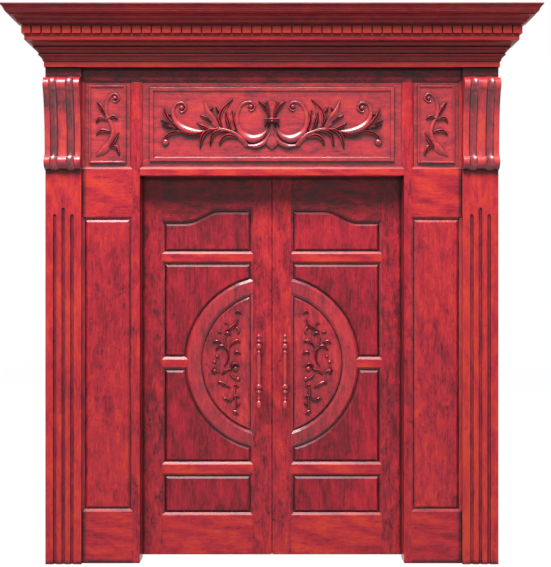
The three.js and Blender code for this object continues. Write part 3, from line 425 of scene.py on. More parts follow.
# One gouge stroke: the section is drawn once as a circle, and swept along each line at the line's own
# half-width. Its upper half becomes the cut: a ridge with a vein, or a hollowed scroll where "cup" is 1.
gouge = Recipe("gouge_strokes", step=0.004, bite=0.002, section=20)
line = gouge.node("MeshToCurve", None, {"Mesh": gouge.start})
line = gouge.node("CurveSplineType", {"spline_type": "CATMULL_ROM"}, {"Curve": line})
line = gouge.node("ResampleCurve", {"mode": "LENGTH"}, {"Curve": line, "Length": gouge.size["step"]})
line = gouge.node("SetCurveNormal", {"mode": "Z_UP"}, {"Curve": line})
section = gouge.node("CurvePrimitiveCircle", None, {"Resolution": gouge.size["section"], "Radius": 1.0})
for key, coordinate in zip(("across", "up"), gouge.split(gouge.node("InputPosition"))):
    section = gouge.store(section, key, coordinate)
swept = gouge.node("CurveToMesh", None, {
    "Curve": line, "Profile Curve": section, "Scale": gouge.drawn("half"), "Fill Caps": True})
across, up = gouge.drawn("across"), gouge.drawn("up")
width_left = gouge.maths("MAXIMUM", 1 - across * across)
vein = gouge.maths("MAXIMUM", 1 - gouge.maths("ABSOLUTE", across) * 3.2)
ridge = width_left ** 0.62 * (1 - vein * 0.5 * gouge.drawn("veined"))
hollowed = width_left ** 0.5 * (0.85 + across * 0.35)
cut_height = gouge.drawn("height") * (ridge + (hollowed - ridge) * gouge.drawn("cup"))
above = gouge.maths("GREATER_THAN", up, 0.01)
new_height = above * (cut_height + gouge.size["bite"]) - gouge.size["bite"]
flat = gouge.split(gouge.node("InputPosition"))[:2]
carved = gouge.node("SetPosition", None, {"Geometry": swept, "Position": gouge.triple(*flat, new_height)})
eye = gouge.node("MeshUVSphere", None, {"Segments": 24, "Rings": 12, "Radius": 1.0})
eye_radius = gouge.drawn("eye")
gouge.end(carved, gouge.at_points(
    eye, Selection=gouge.maths("GREATER_THAN", eye_radius),
    Scale=gouge.triple(eye_radius, eye_radius, gouge.drawn("height"))))


def drawn(name, points, edges=(), **stored):
    """Points and edges for a recipe to start from, with one number a point under each name in stored."""
    mesh = bpy.data.meshes.new(name)
    mesh.from_pydata(points, edges, [])
    for key, numbers in stored.items():
        mesh.attributes.new(key, "FLOAT", "POINT").data.foreach_set("value", numbers)
    return mesh


cupped_over, veined_over, thinnest = 12, 5, 1.5  # half-widths of a stroke in millimetres


def relief(name, pattern, finish, ground, mirror=(1,)):
    """Carves a pattern in (x, z) millimetres on a field: ground is the (x, y, z) of its middle, and mirror
    lists 1 and -1 for the drawn half and for the half that faces it. A stroke is a list of (x, z, half its
    width), a web is a low broad stroke under the leaves, and a boss is (x, z, radius)."""
    points, edges, stored = [], [], {key: [] for key in ("half", "height", "cup", "veined", "eye")}

    def dot(x, z, **values):
        points.append((x * MM, z * MM, 0))
        for key, numbers in stored.items():
            numbers.append(values.get(key, 0.0))

    for stroke in pattern["strokes"]:
        widest = max(half for x, z, half in stroke)
        edges += [(len(points) + i, len(points) + i + 1) for i in range(len(stroke) - 1)]
        for x, z, half in stroke:
            dot(x, z, half=max(half * pattern["fullness"], thinnest) * MM, cup=float(widest > cupped_over),
                veined=float(widest > veined_over),
                height=pattern["relief"] * (0.35 + 0.65 * half / widest) * MM)
    for web in pattern.get("webs", ()):
        edges += [(len(points) + i, len(points) + i + 1) for i in range(len(web) - 1)]
        for x, z, half in web:
            dot(x, z, half=half * MM, height=pattern["relief"] * (0.3 + 0.25 * half / 24) * MM)
    for x, z, radius in pattern["bosses"]:
        dot(x, z, eye=radius * pattern["eyes"] * MM, height=pattern["relief"] * 0.9 * MM)
    piece = gouge.make(name, drawn(name, points, edges, **stored), finish)
    piece.data.transform(Matrix.Rotation(math.pi / 2, 4, "X"))
    shape = bmesh.new()
    for side in mirror:
        half_work = piece.data.copy()
        half_work.transform(Matrix.Diagonal((side, 1, 1, 1)) @ Matrix.Translation(ground))
        if side < 0:
            half_work.flip_normals()
        shape.from_mesh(half_work)
    shape.to_mesh(piece.data)
    return piece


def shown(name, shape, finish):
    """Puts a finished shape into the scene."""
    mesh = bpy.data.meshes.new(name)
    shape.to_mesh(mesh)
    mesh.materials.append(finish)
    piece = bpy.data.objects.new(name, mesh)
    bpy.context.scene.collection.objects.link(piece)
    return piece


def skinned(name, rings, finish):
    """A closed piece over a row of rings that have the same number of points, capped at both ends."""
    shape = bmesh.new()
    rows = [[shape.verts.new(point) for point in ring] for ring in rings]
    for low, high in zip(rows, rows[1:]):
        for i in range(len(low)):
            j = (i + 1) % len(low)
            shape.faces.new((low[i], low[j], high[j], high[i]))
    shape.faces.new(rows[0])
    shape.faces.new(rows[-1])
    bmesh.ops.recalc_face_normals(shape, faces=shape.faces)
    return shown(name, shape, finish)


def onto(body, piece, slot_name, *stands_for):
    """Fixes a finished piece to its body and hides the solids that it stands for; slot_name is not used."""
    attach(piece, body)
    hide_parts(*stands_for)
    return piece


# Left half of the long panel: a sheaf in the middle, a pair of C-scrolls, acanthus and a smaller scroll. All
# patterns are in millimetres from the middle of their field.
long_scrollwork = {
    "relief": 17, "fullness": 1.25, "eyes": 1.5,
    "bosses": [(-117, 93, 9), (-504, 87, 10), (-595, -107, 14)],
    "webs": [
        [(-292, -30, 12), (-326, 12, 24), (-352, 55, 20), (-372, 100, 5)],
        [(-262, -32, 14), (-279, 20, 24), (-272, 68, 20), (-240, 112, 5)],
        [(-212, -40, 16), (-226, 8, 24), (-238, 50, 8)],
        [(-530, -30, 10), (-566, -2, 24), (-590, 30, 18), (-600, 66, 4)],
        [(0, 12, 16), (0, 60, 28), (0, 104, 42), (0, 118, 36)],
    ],
    "strokes": [
        [(-132, 84, 3), (-115, 71, 5), (-96, 92, 6), (-119, 117, 7), (-162, 107, 8), (-190, 62, 9),
         (-196, 14, 10), (-181, -38, 14), (-150, -72, 19), (-105, -88, 21), (-62, -74, 16),
         (-30, -38, 3)],
        [(-138, -122, 8), (-86, -126, 14), (-40, -101, 14), (-17, -62, 8), (-2, -30, 2)],
        [(0, 10, 6), (0, 77, 7), (0, 122, 17)],
        [(-5, 17, 4), (-12, 72, 6), (-29, 118, 11)],
        [(-12, 17, 5), (-26, 62, 7), (-48, 97, 8), (-74, 122, 3)],
        [(-40, 17, 12), (0, 17, 12)],
        [(-24, 8, 9), (-41, -19, 3)],
        [(-10, 4, 8), (-22, -26, 3)],
        [(0, -19, 4), (0, -67, 12), (0, -115, 31), (0, -147, 3)],
        [(-139, -126, 12), (-172, -88, 13), (-216, -56, 11), (-288, -34, 9), (-352, -37, 4)],
        [(-187, -84, 6), (-240, -69, 12), (-277, -88, 10), (-292, -124, 3)],
        [(-240, -52, 5), (-292, -44, 11), (-332, -68, 10), (-344, -128, 3)],
        [(-307, -38, 5), (-355, -42, 11), (-389, -78, 11), (-401, -140, 3)],
        [(-292, -27, 5), (-326, 24, 13), (-360, 72, 12), (-379, 123, 2)],
        [(-334, 2, 4), (-369, 29, 8), (-400, 44, 2)],
        [(-350, 66, 5), (-338, 76, 8), (-329, 88, 2)],
        [(-278, -24, 5), (-290, 29, 12), (-270, 82, 11), (-220, 132, 2)],
        [(-282, 46, 4), (-304, 70, 7), (-313, 92, 2)],
        [(-230, -38, 6), (-244, 14, 11), (-258, 62, 3)],
        [(-196, -43, 6), (-213, 10, 11), (-222, 74, 3)],
        [(-352, -34, 6), (-389, -18, 9), (-418, 4, 2)],
        [(-518, 79, 3), (-502, 63, 5), (-480, 85, 6), (-499, 113, 7), (-536, 103, 7), (-553, 62, 9),
         (-538, 14, 13), (-499, -25, 18), (-441, -45, 17), (-379, -42, 4)],
        [(-550, -10, 3), (-509, -50, 7), (-446, -71, 8), (-382, -66, 5)],
        [(-523, -34, 5), (-562, 5, 12), (-590, 43, 12), (-602, 82, 2)],
        [(-566, -8, 3), (-595, 5, 8), (-620, 18, 2)],
        [(-552, -26, 3), (-586, -22, 7), (-615, -8, 2)],
        [(-588, 36, 4), (-574, 46, 6), (-560, 48, 2)],
        [(-451, -68, 5), (-514, -50, 9), (-562, -55, 10), (-592, -76, 9), (-606, -104, 4)],
    ],
}
# left small panel: one scroll that ends in a broad leaf, with hooked leaves on both sides
small_scrollwork = {
    "relief": 15, "fullness": 1.4, "eyes": 1.3,
    "bosses": [(43, 141, 9)],
    "strokes": [
        [(30, 130, 3), (43, 119, 4), (65, 141, 5), (43, 164, 5), (14, 149, 6), (-6, 105, 7),
         (-4, 50, 8), (20, 0, 8), (32, -50, 9), (16, -105, 12), (-17, -149, 16), (-62, -181, 4)],
        [(-10, 45, 4), (-32, 85, 10), (-59, 121, 2)],
        [(-2, 18, 5), (-42, 30, 9), (-62, 2, 3)],
        [(0, 22, 4), (30, 38, 8), (57, 22, 3)],
        [(20, -50, 5), (-32, -42, 9), (-62, -65, 3)],
        [(3, -139, 4), (38, -100, 9), (63, -52, 2)],
        [(13, -134, 4), (49, -134, 9), (67, -179, 3)],
    ],
}


def slab_loops(name, margins, rim):
    """The board and its slab, as rectangles from back to front. margins are the slab's insets from the
    visible board, across and up, and rim the width of its border, in millimetres."""
    low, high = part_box(name)
    across_in, up_in = (m * MM - groove for m in margins)

    def loop(inset_x, inset_z, y):
        return [(low.x + inset_x, y, low.z + inset_z), (high.x - inset_x, y, low.z + inset_z),
                (high.x - inset_x, y, high.z - inset_z), (low.x + inset_x, y, high.z - inset_z)]

    # the slab's edge is worked with a small ovolo, and the rim falls to the field in a steep hollow
    steps = [(0, slab_face + 0.0125), (0, slab_face + 0.005), (0.0008, slab_face + 0.003),
             (0.0025, slab_face + 0.0010), (0.0045, slab_face), (rim * MM - 0.0065, slab_face),
             (rim * MM - 0.0055, slab_face + 0.0025), (rim * MM - 0.0035, slab_face + 0.0052),
             (rim * MM, sunk_field)]
    return [loop(0, 0, board_back), loop(0, 0, frieze_ground)] + [
        loop(across_in + inset, up_in + inset, y) for inset, y in steps]


def combined(name, finish, *pieces):
    """Makes one piece of several, as the carving and its board are one piece of wood."""
    shape = bmesh.new()
    for part in pieces:
        shape.from_mesh(part.data)
        bpy.data.objects.remove(part)
    return shown(name, shape, finish)


carved_boards = {
    "center_frieze_panel": ((54, 42), 27, long_scrollwork, (1, -1)),
    "left_frieze_panel": ((37, 31), 16, small_scrollwork, (1,)),
    "right_frieze_panel": ((37, 31), 16, small_scrollwork, (-1,)),
}
for node_name, (margins, rim, pattern, mirror) in carved_boards.items():
    low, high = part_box(node_name)
    ground = (abs(low.x + high.x) / -2, sunk_field, carving_height)
    board = skinned(node_name + "_board", slab_loops(node_name, margins, rim), woods["frieze"])
    cuts = relief(node_name + "_relief", pattern, woods["frieze"], ground, mirror)
    carved_panel = combined("carved_" + node_name, woods["frieze"], board, cuts)
    ease(carved_panel, 0.0)
    onto("frame", carved_panel, "panel_wood", node_name)

# ---------------------------------------------------------------- carved half moons
# Each leaf has a half-moon panel inside its half ring, fielded on both faces. An open wreath with a shell is
# carved on the outer field, and curling leaves run above and below it.
moon_low, moon_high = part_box("left_moon_panel")
moon_radius = -moon_low.x
moon_middle = (moon_low.z + moon_high.z) / 2
leaf_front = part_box("left_meeting_stile")[0].y
leaf_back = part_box("left_meeting_stile")[1].y
# left half moon; x is counted from the meeting line
moon_scrollwork = {
    "relief": 11, "fullness": 1.3, "eyes": 1.2,
    "bosses": [(-314, 40, 8), (-328, 9, 8), (-194, -90, 11), (-208, -32, 13), (-328, -42, 10)],
    "strokes": [
        [(-210, 286, 2), (-195, 297, 6), (-178, 283, 3)],
        [(-194, 250, 2), (-208, 225, 9), (-233, 203, 9), (-268, 184, 2)],
        [(-271, 227, 2), (-259, 235, 5), (-250, 221, 2)],
        [(-208, 205, 2), (-197, 203, 5), (-188, 181, 5), (-200, 175, 3)],
        [(-311, 177, 2), (-298, 183, 5), (-287, 172, 2)],
        [(-271, 166, 2), (-254, 174, 9), (-236, 161, 2)],
        [(-256, 170, 3), (-270, 140, 4), (-262, 98, 4)],
        [(-338, 116, 3), (-317, 126, 9), (-291, 119, 3)],
        [(-320, 76, 3), (-296, 100, 8), (-268, 92, 7), (-251, 59, 6), (-254, 15, 5), (-273, -18, 3)],
        [(-268, 92, 4), (-243, 70, 2)],
        [(-243, 92, 3), (-221, 121, 7), (-197, 130, 8), (-182, 119, 2)],
        [(-216, 54, 2), (-199, 65, 8), (-177, 54, 2)],
        [(-237, -12, 3), (-214, -2, 7), (-186, -16, 3)],
        [(-237, -34, 3), (-224, -14, 6), (-206, -12, 3)],
        [(-287, -62, 4), (-262, -40, 7), (-228, -34, 4)],
        [(-328, -20, 3), (-340, -42, 6), (-327, -62, 3)],
        [(-328, -38, 5), (-300, -48, 3)],
        [(-240, -60, 4), (-222, -79, 5), (-205, -86, 4)],
        [(-309, -119, 3), (-300, -106, 7), (-268, -121, 9), (-237, -139, 2)],
        [(-219, -128, 2), (-207, -124, 6), (-190, -135, 2)],
        [(-208, -124, 3), (-214, -171, 5), (-207, -214, 5), (-214, -262, 4)],
        [(-222, -190, 2), (-205, -184, 7), (-185, -197, 2)],
        [(-280, -196, 3), (-262, -203, 8), (-242, -217, 2)],
        [(-242, -217, 2), (-226, -200, 3), (-212, -178, 3)],
        [(-182, -227, 3), (-203, -245, 6)],
        [(-222, -270, 4), (-207, -279, 11), (-190, -290, 3)],
    ],
}


def half_moon(inset, y, side):
    """The panel's outline, moved inwards by inset: the ring's curve, closed by the meeting stile's side."""
    radius, straight = moon_radius - inset, moon_high.x - inset
    start = math.acos(straight / radius)
    sweep = 2 * (math.pi - start)
    turns = [start + sweep * step / 96 for step in range(97)]
    return [(-side * radius * math.cos(turn), y, moon_middle + radius * math.sin(turn)) for turn in turns]


leaf_middle = (leaf_front + leaf_back) / 2
moon_setback, tongue_half = 0.003, 0.006
moon_field = leaf_front + moon_setback
leaves = (("left_leaf", -1), ("right_leaf", 1))
for body, side in leaves:
    name = body.replace("leaf", "moon_panel")
    levels = [(0.023, leaf_back - moon_setback), (0, leaf_middle + tongue_half),
              (0, leaf_middle - tongue_half), (0.0212, leaf_front + 0.0056), (0.0217, leaf_front + 0.0036),
              (0.023, moon_field)]
    field = skinned(name + "_field", [half_moon(inset, y, side) for inset, y in levels], woods["moon"])
    wreath = relief(name + "_relief", moon_scrollwork, woods["moon"], (0, moon_field, moon_middle), (-side,))
    moon = combined("carved_" + name, woods["moon"], field, wreath)
    ease(moon, 0.0)
    onto(body, moon, "panel_wood", name)

# ---------------------------------------------------------------- cornice
# Three runs of moulding are planted one above the other along the front and both ends, and mitred at the
# corners. The bed mould and the crown are run with a spindle cutter; the dentils are sawn blocks between.
bed_low, bed_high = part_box("cornice_bed_mould")
bed_top_reach = 0.085
cornice_end = bed_high.x - bed_top_reach
cornice_front = bed_low.y + bed_top_reach


def arc(start, stop, swell, steps=8):
    """A quarter-round from start to stop: hollow where swell is -1, and rounded where it is 1."""
    points = []
    for step in range(steps + 1):
        turn = math.pi / 2 * step / steps
        across = math.sin(turn) if swell > 0 else 1 - math.cos(turn)
        rise = 1 - math.cos(turn) if swell > 0 else math.sin(turn)
        points.append((start[0] + (stop[0] - start[0]) * across, start[1] + (stop[1] - start[1]) * rise))
    return points


def bead(reach, low, high, proud, steps=8):
    """A half-round bead that stands proud of a face."""
    middle, half = (low + high) / 2, (high - low) / 2
    return [(reach + proud * math.cos(turn), middle + half * math.sin(turn))
            for turn in (math.pi * (step / steps - 0.5) for step in range(steps + 1))]


def mitred(name, outer, inner, base, finish):
    """A moulding around three sides: outer and inner list (reach, height) in millimetres from the bottom."""
    profile = outer + inner[::-1]
    corners = [(-1, 0), (-1, 1), (1, 1), (1, 0)]
    rings = [[(side * (cornice_end + reach * MM), cornice_front - reach * MM if outward else wall_y,
               base + height * MM) for reach, height in profile] for side, outward in corners]
    return skinned(name, rings, finish)


bed_outer = [
    (0, 0), (0, 26), (1, 27), (1, 29), (4, 31), *bead(4, 31, 36, 2), (7, 38), *arc((7, 38), (20, 55), -1),
    (21, 57), *bead(21, 58, 68, 5), (24, 70), (26, 72), *arc((26, 72), (41, 87), -1), (42, 89), (45, 91),
    *bead(43, 92, 102, 4), (48, 104), *arc((49, 105), (80, 125), -1), (82, 127), (85, 128), (85, 148),
]
bed_wall = 24
bed_inner = [(-bed_wall, 0), (-bed_wall, bed_wall), (0, 90), (60, 148)]
bed_mould = mitred("bed_mould_run", bed_outer, bed_inner, bed_low.z, woods["bed"])
soffit_end, soffit_front = cornice_end - bed_wall * MM, cornice_front + bed_wall * MM
soffit = skinned("bed_mould_soffit", [
    [(-soffit_end, soffit_front, z), (soffit_end, soffit_front, z), (soffit_end, wall_y, z),
     (-soffit_end, wall_y, z)] for z in (bed_low.z, bed_low.z + bed_wall * MM)], woods["bed"])
bed_whole = combined("bed_mould", woods["bed"], bed_mould, soffit)
ease(bed_whole, 0.0)
onto("frame", bed_whole, "cornice_wood", "cornice_bed_mould")

crown_outer = [
    (102, 0), (102, 6), *arc((104, 7), (118, 19), 1), (121, 21), (121, 24), (125, 25), (126, 28),
    *arc((126, 28), (146, 41), -1), (149, 42), (149, 45), (154, 46), (156, 49),
    *arc((157, 49), (169, 60), 1), (172, 62), (172, 67), (175, 69), *arc((175, 69), (184, 81), -1),
    (186, 83), *bead(184, 84, 91, 5), (189, 91), (189, 92),
]
crown_inner = [(70, 0), (157, 92)]
crown_run = mitred("crown_mould", crown_outer, crown_inner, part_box("cornice_crown")[0].z,
                   woods["cornice"])
ease(crown_run, 0.0)
onto("frame", crown_run, "cornice_wood", "cornice_crown")

band_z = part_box("dentil_band")[0].z
dentil_reach, dentil_proud = 98 * MM, 13 * MM
dentil_pitch, dentil_slot = 54 * MM, 7 * MM
dentil_bottom, dentil_top = 12 * MM, 52 * MM
dentil_root = 0.004  # how far a block is let into the ground
least_dentil = 0.006
band = mitred("dentil_ground", [(85, 0), (85, 52), (94, 52.5), (94, 57)], [(60, 0), (60, 57)], band_z,
              woods["dentil"])

# each dentil is a sawn block with its arrises broken; the corner blocks are square
dentils = Recipe("dentil_blocks", width=0.047, deep=0.017, height=0.04)
one_block = dentils.node("MeshCube", None, {
    "Size": dentils.triple(dentils.size["width"], dentils.size["deep"], dentils.size["height"])})
dentils.end(dentils.at_points(one_block, Rotation=dentils.triple(z=dentils.drawn("turn")),
                              Scale=dentils.triple(dentils.drawn("wide"), 1.0, 1.0)))
dentil_end = cornice_end + dentil_reach
dentil_front = cornice_front - dentil_reach
blocks_across = round(2 * dentil_end / dentil_pitch)
front_pitch = 2 * dentil_end / blocks_across
block_width = front_pitch - dentil_slot
block_deep = dentil_proud + dentil_root
block_middle = band_z + (dentil_bottom + dentil_top) / 2
block_places, block_turns, block_wides = [], [], []
for number in range(blocks_across):
    at_end = {0: -1, blocks_across - 1: 1}.get(number, 0)
    spare = dentil_slot / 2 * abs(at_end)
    x = -dentil_end + front_pitch * (number + 0.5) + at_end * spare / 2
    block_places.append((x, dentil_front + block_deep / 2, block_middle))
    block_turns.append(0.0)
    block_wides.append((block_width + spare) / block_width)
blocks_deep = int((wall_y - dentil_front) / dentil_pitch)
for number in range(blocks_deep + 1):
    first = dentil_front + (dentil_pitch * number + dentil_slot / 2 if number else block_deep)
    last = min(dentil_front + dentil_pitch * (number + 1) - dentil_slot / 2, wall_y)
    if last - first > least_dentil:
        for side in (-1, 1):
            block_places.append((side * (dentil_end - block_deep / 2), (first + last) / 2, block_middle))
            block_turns.append(-side * math.pi / 2)
            block_wides.append((last - first) / block_width)
blocks = dentils.make("dentils", drawn("dentil_marks", block_places, turn=block_turns, wide=block_wides),
                      woods["dentil"], width=block_width, deep=block_deep, height=dentil_top - dentil_bottom)
dentil_course = combined("dentil_course", woods["dentil"], band, blocks)
ease(dentil_course)
onto("frame", dentil_course, "cornice_wood", "dentil_band")

# ---------------------------------------------------------------- corbels
# An S-shaped corbel stands on each pilaster under the cornice. It is bandsawn from thick stock, with a roll
# at its head and foot, and two hollows are gouged down its front. It is screwed on from behind.
corbel_width, corbel_high, corbel_lift, corbel_arris = 0.2, 0.514, 0.027, 0.0015
corbel_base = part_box("center_frieze_rail")[0].z + corbel_lift
corbel_top = corbel_base + corbel_high
head_roll, foot_roll, head_reach, waist = 0.050, 0.042, 0.066, 0.018
gouge_half, gouge_depth, gouge_offset = 0.023, 0.013, 0.046
head_z, foot_z = corbel_top - head_roll, corbel_base + foot_roll
head_proud = head_reach - head_roll


def swing(centre, radius, start, stop, steps):
    """Points along a part of a circle."""
    turns = [start + (stop - start) * step / steps for step in range(steps + 1)]
    return [(centre[0] + radius * math.cos(turn), centre[1] + radius * math.sin(turn)) for turn in turns]


def bent(a, b, c, d, steps):
    """Points along a cubic curve from a to d."""
    spots = []
    for step in range(1, steps):
        t = step / steps
        spots.append(tuple(
            (1 - t) ** 3 * p + 3 * t * (1 - t) ** 2 * q + 3 * t * t * (1 - t) * r + t ** 3 * s
            for p, q, r, s in zip(a, b, c, d)))
    return spots


def roll_shade(z):
    """How much painted shade darkens the neck under the head roll and the underside of the foot roll."""
    neck = max(0, 1 - abs(z - head_z + 1.7 * head_roll) / 0.07)
    sole = max(0, min(1, (foot_z - 0.1 * foot_roll - z) / (0.5 * foot_roll)))
    return 0.75 * max(neck, sole)


head_arc = swing((head_proud, head_z), head_roll, math.pi / 2, -math.pi / 5, 22)
foot_arc = swing((0, foot_z), foot_roll, math.pi / 3.2, -math.pi * 0.48, 20)
waist_end = (waist, foot_z + foot_roll * 1.35)
neck_end = (head_reach * 0.62, head_z - head_roll * 1.6)
belly = (waist, (head_z + foot_z) / 2 + 0.03)
front_line = head_arc + bent(head_arc[-1], neck_end, belly, waist_end, 24) + [waist_end] + foot_arc
gouge_section = [(step / 6, (1 - (step / 6) ** 2) ** 0.7) for step in range(-6, 7)]
across_front = [(-corbel_width / 2, corbel_arris), (-corbel_width / 2 + corbel_arris, 0)]
for side in (-1, 1):
    across_front += [(side * gouge_offset + x * gouge_half, deep * gouge_depth) for x, deep in gouge_section]
across_front += [(corbel_width / 2 - corbel_arris, 0), (corbel_width / 2, corbel_arris)]
for side, name in ((-1, "left_corbel"), (1, "right_corbel")):
    low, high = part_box(name)
    middle = (low.x + high.x) / 2
    rings = []
    for index, (out, z) in enumerate(front_line):
        before, after = front_line[max(index - 1, 0)], front_line[min(index + 1, len(front_line) - 1)]
        run = math.dist(before, after)
        way = ((after[0] - before[0]) / run, (after[1] - before[1]) / run)
        sink = min(1, out / head_proud)
        rings.append([(middle + x, pilaster_face_y - out - way[1] * deep * sink,
                       z + way[0] * deep * sink / 2) for x, deep in across_front]
                     + [(middle + corbel_width / 2, pilaster_face_y, z),
                        (middle - corbel_width / 2, pilaster_face_y, z)])
    corbel = skinned("carved_" + name, rings, woods["corbel"])
    # painted shade darkens the gouges and the roll necks; the last two points of a ring are at the back
    depths = [deep for x, deep in across_front] + [0, 0]
    painted_shade = [max(0.5 * deep / gouge_depth * min(1, out / head_proud), roll_shade(z))
              for out, z in front_line for deep in depths]
    corbel.data.attributes.new("hollow", "FLOAT", "POINT").data.foreach_set("value", painted_shade)
    ease(corbel, 0.0)
    onto("frame", corbel, "stile_wood", name)

# ---------------------------------------------------------------- pulls
# A turned pull stands on two short posts on each meeting stile: a plain shaft between groups of beads, with
# a ball at both ends. Shaft and posts are lathe work in the same wood, lacquered before they are screwed on.
turnings = Recipe("turned_work", step=0.0012, sides=40)
spine = turnings.node("MeshToCurve", None, {"Mesh": turnings.start})
spine = turnings.node("CurveSplineType", {"spline_type": "CATMULL_ROM"}, {"Curve": spine})
spine = turnings.node("ResampleCurve", {"mode": "LENGTH"}, {"Curve": spine, "Length": turnings.size["step"]})
rim_circle = turnings.node("CurvePrimitiveCircle", None, {
    "Resolution": turnings.size["sides"], "Radius": 1.0})
turnings.end(turnings.node("CurveToMesh", None, {
    "Curve": spine, "Profile Curve": rim_circle, "Scale": turnings.drawn("radius"), "Fill Caps": True}))


def turned(name, start, along, radii, finish):
    """Turns a piece from a list of (distance, radius) in millimetres, along a direction from its start."""
    spots = [tuple(a + distance * MM * b for a, b in zip(start, along)) for distance, radius in radii]
    axis = drawn(name, spots, [(i, i + 1) for i in range(len(spots) - 1)],
                 radius=[radius * MM for distance, radius in radii])
    return turnings.make(name, axis, finish)


spindle_turning = [
    (0, 1), (1.5, 10), (5, 14), (14, 15.8), (26, 16), (34, 14.5), (40, 10.5), (44, 8.5), (48, 9), (53, 11),
    (58, 9), (63, 7.5), (72, 7.5), (79, 9), (83, 13), (88, 15.5), (95, 15.8), (101, 14), (105, 10.5),
    (108, 12), (113, 16), (121, 17.5), (129, 16.5), (135, 12), (139, 9.5), (144, 10.5), (170, 11.5),
    (224, 12), (280, 11.3), (302, 10), (307, 9.5), (311, 11.5), (316, 13), (321, 12), (325, 9), (330, 8.5),
    (334, 11.5), (341, 16.5), (350, 17.5), (359, 16), (366, 11), (369, 9), (372, 11), (376, 15),
    (381, 15.5), (386, 13.5), (390, 9), (394, 7.5), (398, 9.5), (403, 12.8), (410, 13.2), (416, 10),
    (419.5, 4.5), (420, 1),
]
post_turning = [(0, 8), (10, 8), (22, 7.5), (32, 9), (37, 12), (40, 14.5), (45, 15)]
post_heights = (92, 350)
pull_reach = 0.045  # from the leaf's face to the spindle's axis
for body, side in leaves:
    node_name = body.replace("leaf", "pull")
    low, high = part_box(node_name)
    axis_x, axis_y = (low.x + high.x) / 2, leaf_front - pull_reach
    parts = [turned("spindle", (axis_x, axis_y, low.z), (0, 0, 1), spindle_turning, woods["pull"])]
    parts += [turned("post", (axis_x, axis_y, low.z + height * MM), (0, 1, 0), post_turning, woods["pull"])
              for height in post_heights]
    pull = combined("turned_" + node_name, woods["pull"], *parts)
    ease(pull, 0.0)
    onto(body, pull, "pull_wood", node_name)

# ---------------------------------------------------------------- pile seal between the leaves
# A strip of dense black pile is let into the left leaf's meeting edge, just behind its face. It closes the
# four millimetres between the leaves to light and draughts. Its near-black colour is also painted shade,
# standing in for the shade in the gap.
stile_low, stile_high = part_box("left_meeting_stile")
tuft_pitch, tuft_inset, seal_end = 0.004, 0.008, 0.005
# near-black tones: painted shade for the gap between the leaves
gap_shade_tones = [(0.3, (0.006, 0.004, 0.004)), (0.7, (0.03, 0.015, 0.014))]
pile = Finish("black_pile")
fuzz = pile.noise(pile.node("TexCoord", output=3), 2, scale=900.0)
pile.surface(Base_Color=pile.node("ValToRGB", {"stops": gap_shade_tones}, {"Fac": fuzz}),
             Roughness=0.95, Specular_IOR_Level=0.05)
tufts = Recipe("pile_tufts", width=0.00396, depth=0.005, height=0.0042, seed=7)
tuft = tufts.node("MeshCube", None, {
    "Size": tufts.triple(tufts.size["width"], tufts.size["depth"], tufts.size["height"])})
uneven = tufts.node("FunctionNodeRandomValue", {"data_type": "FLOAT"}, {
    2: 0.985, 3: 1.0, "Seed": tufts.size["seed"]}, 1)
tufts.end(tufts.at_points(tuft, Scale=tufts.triple(uneven, 1.0, 1.0)))
tuft_count = int((stile_high.z - stile_low.z - 2 * seal_end) / tuft_pitch)
tuft_places = [(0.0, leaf_front + tuft_inset, stile_low.z + seal_end + (number + 0.5) * tuft_pitch)
               for number in range(tuft_count)]
seal = tufts.make("pile_seal", drawn("tuft_marks", tuft_places), pile.material)
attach(seal, "left_leaf")

# ---------------------------------------------------------------- hinges
# Three brass butt hinges hang each leaf. Their plates are let in flush and held by four slotted screws, and
# the knuckles turn on a pin with rounded ends. The leaf's half is one piece with its hinge stile.
knuckle_radius, knuckle_long, knuckles = 0.008, 0.025, 5
screw_pitch = 1.15 * knuckle_long
knuckle_play, plate_wide, plate_thick, half_gap = 0.0003, 0.044, 0.003, 0.0005
leaf_plate_shown = 0.0002  # the leaf's plate is in the solid, so only its brass face is added
screws = Recipe("slotted_screws", radius=0.0044, head=0.0008, slot=0.0012, seed=3)
screw_head = screws.node("MeshCylinder", None, {
    "Vertices": 24, "Radius": screws.size["radius"], "Depth": screws.size["head"]})
driver = screws.node("MeshCube", None, {"Size": screws.triple(0.012, screws.size["slot"], 0.004)})
slotted = screws.node("MeshBoolean", {"operation": "DIFFERENCE"}, {"Mesh 1": screw_head, "Mesh 2": driver})
slotted = screws.node("Transform", None, {"Geometry": slotted, "Rotation": (0, math.pi / 2, 0)})
clocked = screws.node("FunctionNodeRandomValue", {"data_type": "FLOAT"}, {
    2: 0.0, 3: 3.1, "Seed": screws.size["seed"]}, 1)
screws.end(screws.at_points(slotted, Rotation=screws.triple(clocked)))
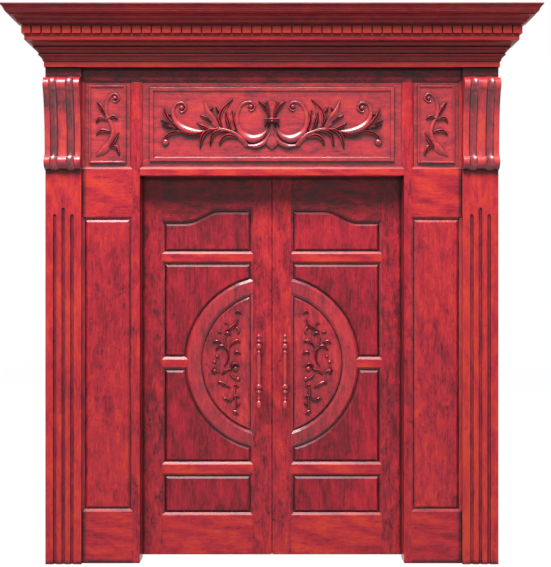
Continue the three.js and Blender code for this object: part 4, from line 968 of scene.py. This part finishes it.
# in millimetres, from the foot of a knuckle and from the foot of the pin
knuckle_turning = [(0.2, 7.4), (0.8, 7.95), (12.5, 7.95), (24.2, 7.95), (24.8, 7.4)]
pin_turning = [
    (0, 1.5), (1.2, 3.6), (3.5, 4.4), (5, 4), (70, 4), (130, 4), (131.5, 4.4), (133.8, 3.6), (135, 1.5),
]


def hinge_half(name, pin, outward, own_knuckles, thick):
    """One half of a hinge: outward is -1 or 1, the way its plate lies from the pin's middle plane."""
    foot = pin.z - knuckle_long * knuckles / 2
    near, far = pin.x + outward * half_gap, pin.x + outward * (half_gap + thick)

    def slab(y0, y1, z0, z1):
        return skinned(name, [[(near, y0, z), (far, y0, z), (far, y1, z), (near, y1, z)] for z in (z0, z1)],
                       brass.material)

    edge = pin.y - knuckle_radius
    parts = [slab(edge - plate_wide, edge, foot, foot + knuckle_long * knuckles)]
    for number in own_knuckles:
        start = foot + number * knuckle_long
        parts.append(slab(edge, pin.y, start + knuckle_play, start + knuckle_long - knuckle_play))
        parts.append(turned("knuckle", (pin.x, pin.y, start), (0, 0, 1), knuckle_turning, brass.material))
    marks = [(near, edge - plate_wide * (0.28 if row % 2 else 0.68), foot + screw_pitch * (row + 0.75))
             for row in range(4)]
    parts.append(screws.make("screws", drawn("screw_marks", marks), brass.material))
    return parts


def hung(body, name, parts, *stands_for):
    """Fixes one half of a hinge to its body."""
    half = combined(name, brass.material, *parts)
    ease(half, 0.0)
    onto(body, half, "hinge_steel", *stands_for)


for body, side in leaves:
    for height in ("low", "middle", "high"):
        node_name = body.replace("leaf", height + "_hinge")
        low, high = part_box(node_name)
        pin = Vector(((low.x + high.x) / 2, high.y - knuckle_radius, (low.z + high.z) / 2))
        fixed = hinge_half("fixed_plate", pin, side, (0, 2, 4), plate_thick)
        fixed.append(turned("pin", (pin.x, pin.y, low.z), (0, 0, 1), pin_turning, brass.material))
        hung("frame", "brass_" + node_name, fixed, node_name)
        swinging = hinge_half("leaf_plate", pin, -side, (1, 3), leaf_plate_shown)
        hung(body, "brass_leaf_half_" + node_name, swinging)
